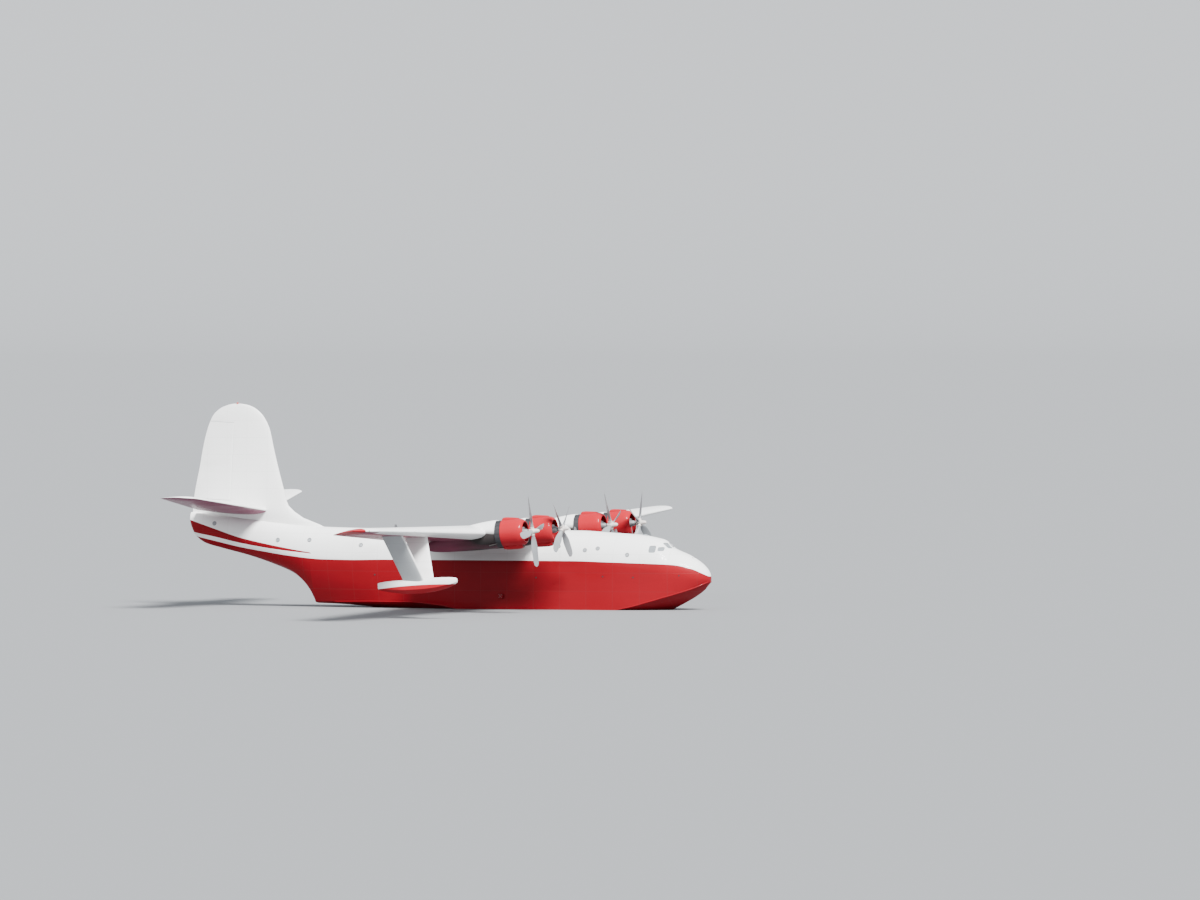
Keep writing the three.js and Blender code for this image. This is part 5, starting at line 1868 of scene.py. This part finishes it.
@dataclass
class FlightDeck:
    """Seats, columns, pedestal and panel seen through the windows.

    Attributes:
        finishes: Shared finishes.
        out: Distance of the seats from the centreline.
    """

    finishes: Finishes
    out: float = 0.62

    def seat(self, word: str, side: int) -> None:
        """One seat: padded base and back over a pan, and two arms on posts."""
        y = side * self.out
        skin = Skin()
        for low, high, round_off in (
                ((4.02, y - 0.23, 4.27), (4.50, y + 0.23, 4.37), 0.015),
                ((4.49, y - 0.22, 4.30), (4.61, y + 0.22, 4.98), 0.02),
                ((4.04, y - 0.19, 4.22), (4.50, y + 0.19, 4.28), 0.005)):
            skin.grid(block(low, high, round_off))
        for edge in (y - 0.235, y + 0.235):
            skin.grid(tube(place(np.linspace(4.12, 4.52, 6), edge, 4.52), 0.014, 10))
            skin.grid(tube(place(4.16, edge, np.linspace(4.24, 4.52, 4)), 0.008, 8), slot=1)
        skin.build(f"seat_skin_{word}", [self.finishes.leather, self.finishes.metal],
                   replaces=(f"seat_{word}",), slot="seat_leather")

    def column(self, word: str, side: int) -> None:
        """Control column with a two-horned wheel."""
        y = side * self.out
        skin = Skin()
        path = place(np.linspace(3.62, 3.53, 8), y, np.linspace(4.22, 4.56, 8))
        skin.grid(tube(path, 0.014, 12))
        angle = np.radians(np.linspace(-215, 35, 32))
        rim = place(3.50 + 0.02 * np.sin(angle), y + 0.15 * np.cos(angle),
                    4.60 + 0.10 * np.sin(angle))
        skin.grid(tube(rim, 0.008, 10))
        skin.grid(tube(place(3.51, y + np.linspace(-0.13, 0.13, 5), 4.57), 0.009, 10))
        skin.build(f"column_skin_{word}", [self.finishes.dark],
                   replaces=(f"control_column_{word}",), slot="cockpit_dark")

    def panel(self) -> None:
        """Instrument panel with a coaming and two rows of dials."""
        skin = Skin().grid(block((3.19, -1.08, 4.22), (3.06, 1.08, 4.60), 0.006))
        skin.grid(block((3.30, -1.02, 4.585), (3.06, 1.02, 4.615), 0.006))
        aft = np.array([-1.0, 0, 0])
        for height, count in ((4.50, 15), (4.40, 13)):
            for out in np.linspace(-0.9, 0.9, count):
                spot = place(3.195, out, height)
                skin.grid(disc_on(spot, aft, 0.019, 0.0015), slot=1)
                skin.grid(ring_on(spot, aft, 0.020, 0.0022), slot=2)
        skin.build("panel_skin", [self.finishes.dark, self.finishes.dial,
                                  self.finishes.metal],
                   replaces=("instrument_panel",), slot="cockpit_dark")

    def pedestal(self) -> None:
        """Throttle pedestal with two rows of levers and their knobs."""
        skin = Skin().grid(block((4.08, -0.15, 4.22), (3.27, 0.15, 4.38), 0.012))
        knob = turned([(0.012, 0.0), (0.009, 0.007), (0.0, 0.010), (-0.009, 0.007),
                       (-0.012, 0.0)], 12)
        for out in (-0.07, 0.05):
            for index in range(4):
                station = 3.38 + 0.055 * index
                path = place(np.array([station, station - 0.02, station - 0.03]), out,
                             np.array([4.37, 4.43, 4.48]))
                skin.grid(tube(path, 0.003, 8), slot=1)
                skin.grid(knob + path[-1], caps=False, slot=2)
        skin.build("pedestal_skin", [self.finishes.dark, self.finishes.metal,
                                     self.finishes.red_knob],
                   replaces=("throttle_pedestal",), slot="cockpit_dark")

    def build(self) -> None:
        """Builds all the furniture of the flight deck."""
        for word, side in SIDES:
            self.seat(word, side)
            self.column(word, side)
        self.panel()
        self.pedestal()


@dataclass
class Fittings:
    """Outside fittings: aerials, dome, beacons, mooring gear, pads and vents.

    Attributes:
        finishes: Shared finishes.
        pad: Station, distance out and height of the beaching pads' faces.
        vents: Station and height of the vents on each side.
    """

    finishes: Finishes
    pad: tuple[float, float, float] = (13.6, 2.2, 1.9)
    vents: tuple[tuple[float, float], ...] = (
        (6.66, 3.20), (4.62, 3.15), (1.68, 3.28), (11.2, 3.1), (18.5, 3.0), (22.4, 3.2))

    def blade_aerial(self, station: float, foot: float, tall: float, chord: float) -> Array:
        """Blade aerial, thin aerofoil rings that shrink and rake back with height."""
        share = np.linspace(0, 1, 9)[:, None]
        along, sideways = foil_loop(0.12, 12)
        size = chord * (1 - 0.45 * share**1.5)
        return place(station + size * along + 0.35 * tall * share, size * sideways,
                     foot + tall * share)

    def roof(self) -> None:
        """Mast, blade aerials, navigation dome and beacons on crown and fin."""
        skin = Skin()
        for numbers in ((6.30, 5.92, 0.30, 0.20), (9.10, 6.08, 0.26, 0.20),
                        (21.4, 6.12, 0.30, 0.24)):
            skin.grid(self.blade_aerial(*numbers))
        mast = place(np.linspace(5.30, 5.38, 6), 0.0, np.linspace(5.86, 6.40, 6))
        skin.grid(tube(mast, np.linspace(0.012, 0.007, 6), 12))
        skin.build("roof_aerials", [self.finishes.metal], slot="fitting_metal")
        dome = turned([(0.052, 0.0), (0.049, 0.03), (0.037, 0.07), (0.015, 0.095),
                       (-0.05, 0.10)], 28)
        Skin().grid(upright(dome, place(4.45, 0.0, 5.80))).build(
            "navigation_dome", [self.finishes.glass], slot="cockpit_glass")
        beacon = turned([(0.045, 0.0), (0.04, 0.02), (0.02, 0.032), (-0.02, 0.036)], 20)
        Skin().grid(upright(beacon, place(20.4, 0.0, 6.17))).grid(
            upright(beacon, place(32.52, 0.0, 14.26))).build(
            "red_beacons", [self.finishes.red_lens])

    def mooring(self) -> None:
        """Mooring bitts on the bow: a post with a cross bar on each side."""
        skin = Skin()
        for _, side in SIDES:
            foot = place(1.15, side * 0.22, 4.33)
            post = foot + np.array([[0, 0, -0.03], [0, 0, 0.02], [0, 0, 0.045]])
            skin.grid(tube(post, np.array([0.013, 0.011, 0.014]), 16))
            bar = foot + np.array([[0.034, 0, 0.032], [0.0, 0, 0.032], [-0.034, 0, 0.032]])
            skin.grid(tube(bar, 0.006, 10))
        skin.build("mooring_gear", [self.finishes.metal], slot="fitting_metal")

    def pads(self) -> None:
        """Bolts and bead of the beaching pads, then their painted plates."""
        station, out, height = self.pad
        bolt = turned([(-0.004, 0.0), (-0.004, 0.009), (0.005, 0.009), (0.005, 0.0)], 6)
        plate = turned([(-0.10, 0.0), (-0.10, 0.088), (-0.006, 0.088), (0.0, 0.082),
                        (0.0, 0.0)], 40)
        skin = Skin()
        for _, side in SIDES:
            face, spot = np.array([0.0, side, 0.0]), place(station, side * out, height)
            for x, z in ((-1, -1), (-1, 1), (1, -1), (1, 1)):
                corner = spot + np.array([x, 0, z]) * 0.045
                skin.grid(sideways_on(bolt, side, corner), caps=False)
            skin.grid(ring_on(spot + face * 0.0005, face, 0.028, 0.003))
        skin.build("pad_bolts", [self.finishes.metal], slot="fitting_metal")
        for word, side in SIDES:
            spot = place(station, side * out, height)
            Skin().grid(sideways_on(plate, side, spot), caps=False).build(
                f"pad_plate_{word}", [self.finishes.hull],
                replaces=(f"beaching_pad_{word}",), slot="fitting_metal",
                marks=HULL_MARKS)

    def side_vents(self) -> None:
        """Small round vents low on the sides, dark discs as painted shade in their openings.
        """
        skin = Skin()
        for station, height in self.vents:
            for _, side in SIDES:
                skin.grid(disc_on(*on_side(station, height, side), 0.028, 0.004))
        skin.build("side_vents", [self.finishes.dark])

    def build(self) -> None:
        """Builds all the fittings."""
        self.roof()
        self.mooring()
        self.pads()
        self.side_vents()


class Finishes:
    """All finishes of the aircraft, built once and shared."""

    def __init__(self) -> None:
        """Makes every material."""
        tail_seams, wing_seams = (0.7, 0.0, 0.55), (0.75, 1.1, 0.0)
        # The hull's soot strength darkens the painted shadow of the wing on its white sides.
        self.hull = Paint("hull_paint", Tone.WHITE, lower=Tone.RED, dirt=0.35,
                          soot=0.4).build()
        # Under the wing the lower colour is painted shade with a painted reflection of the
        # red hull.
        self.wing = Paint("wing_paint", Tone.WHITE, lower=Tone.UNDER_SHADE_REFLECTION, soot=0.85,
                          seams=wing_seams, roughness=0.26).build()
        # Low on the nacelles the lower colour is painted shade with a painted reflection of
        # the red hull.
        self.nacelle = Paint("nacelle_paint", Tone.WHITE, lower=Tone.UNDER_SHADE_REFLECTION, soot=1.3,
                             dirt=0.4, seams=(0.45, 0.0, 0.0)).build()
        self.tail = Paint("tail_paint", Tone.WHITE, seams=tail_seams).build()
        # The stabilisers' downward faces take painted shade with a painted reflection of the
        # red hull.
        self.stabiliser = Paint("stabiliser_paint", Tone.WHITE, under=Tone.UNDER_RED_REFLECTION,
                                seams=tail_seams).build()
        # The tips' downward faces take painted shade with a painted reflection of the red
        # hull.
        self.tip = Paint("tip_paint", Tone.WHITE, lower=Tone.COWL, under=Tone.UNDER_SHADE_REFLECTION,
                         turn_under=-0.86, seams=wing_seams).build()
        self.float = Paint("float_paint", Tone.WHITE, lower=Tone.COWL,
                           seams=(0.9, 0.0, 0.0)).build()
        self.leg = Paint("leg_paint", Tone.WHITE, under=Tone.SHADE, turn_under=-0.3,
                         seams=(0.0, 0.0, 0.6)).build()
        self.cowl = Paint("cowl_paint", Tone.COWL, seams=(0.0, 0.0, 0.0), dirt=0.2).build()
        self.metal = Plain("fitting_metal", Tone.METAL, 0.9, 0.35).build()
        self.case = Plain("engine_case", Tone.METAL, 0.5, 0.5, grime=0.6).build()
        self.cylinder = Plain("engine_barrels", Tone.METAL, 0.8, 0.5, grime=0.8).build()
        self.exhaust = Plain("exhaust_metal", Tone.SOOT, 0.7, 0.6).build()
        # Black for real soot, and painted shade in the scoop mouths and the cowl flaps' gap.
        self.soot = Plain("soot_and_shade_black", Tone.SOOT, 0.0, 0.9).build()
        self.blade = Plain("blade_paint", Tone.BLADE, 0.1, 0.40, grime=0.2).build()
        self.hub = Plain("hub_paint", Tone.HUB, 0.0, 0.38, grime=0.25).build()
        self.dark = Plain("dark_fitting", Tone.DARK, 0.0, 0.55).build()
        self.leather = Plain("seat_leather", Tone.LEATHER, 0.0, 0.6, grain=30.0).build()
        self.glass = window_glass()
        self.red_lens = lamp_lens("red_lens", rgba(0.45, 0.01, 0.01))
        self.green_lens = lamp_lens("green_lens", rgba(0.01, 0.30, 0.08))
        self.dial = Plain("dial_faces", Tone.DIAL, 0.0, 0.2).build()
        self.red_knob = Plain("red_knobs", Tone.COWL, 0.0, 0.4).build()


def assemblies(f: Finishes) -> list:
    """All sub-assemblies in building order."""
    return [
        Hull(f.hull, f.metal, f.glass),
        Wing(f.wing, f.tip, (f.red_lens, f.green_lens)),
        Tail(f.tail, f.stabiliser),
        *[WingFloat(word, side, f.float, f.leg) for word, side in SIDES],
        *[EngineUnit(word, *numbers, f) for word, numbers in ENGINES.items()],
        FlightDeck(f),
        Fittings(f),
    ]


def main() -> None:
    """Builds the camera and studio, then each sub-assembly in turn."""
    logging.basicConfig(level=logging.INFO, format="%(name)s %(message)s")
    PhotoCamera().build()
    Studio().build()
    finishes = Finishes()
    for assembly in assemblies(finishes):
        LOG.info("building %s", type(assembly).__name__)
        assembly.build()


if __name__ == "__main__":
    main()
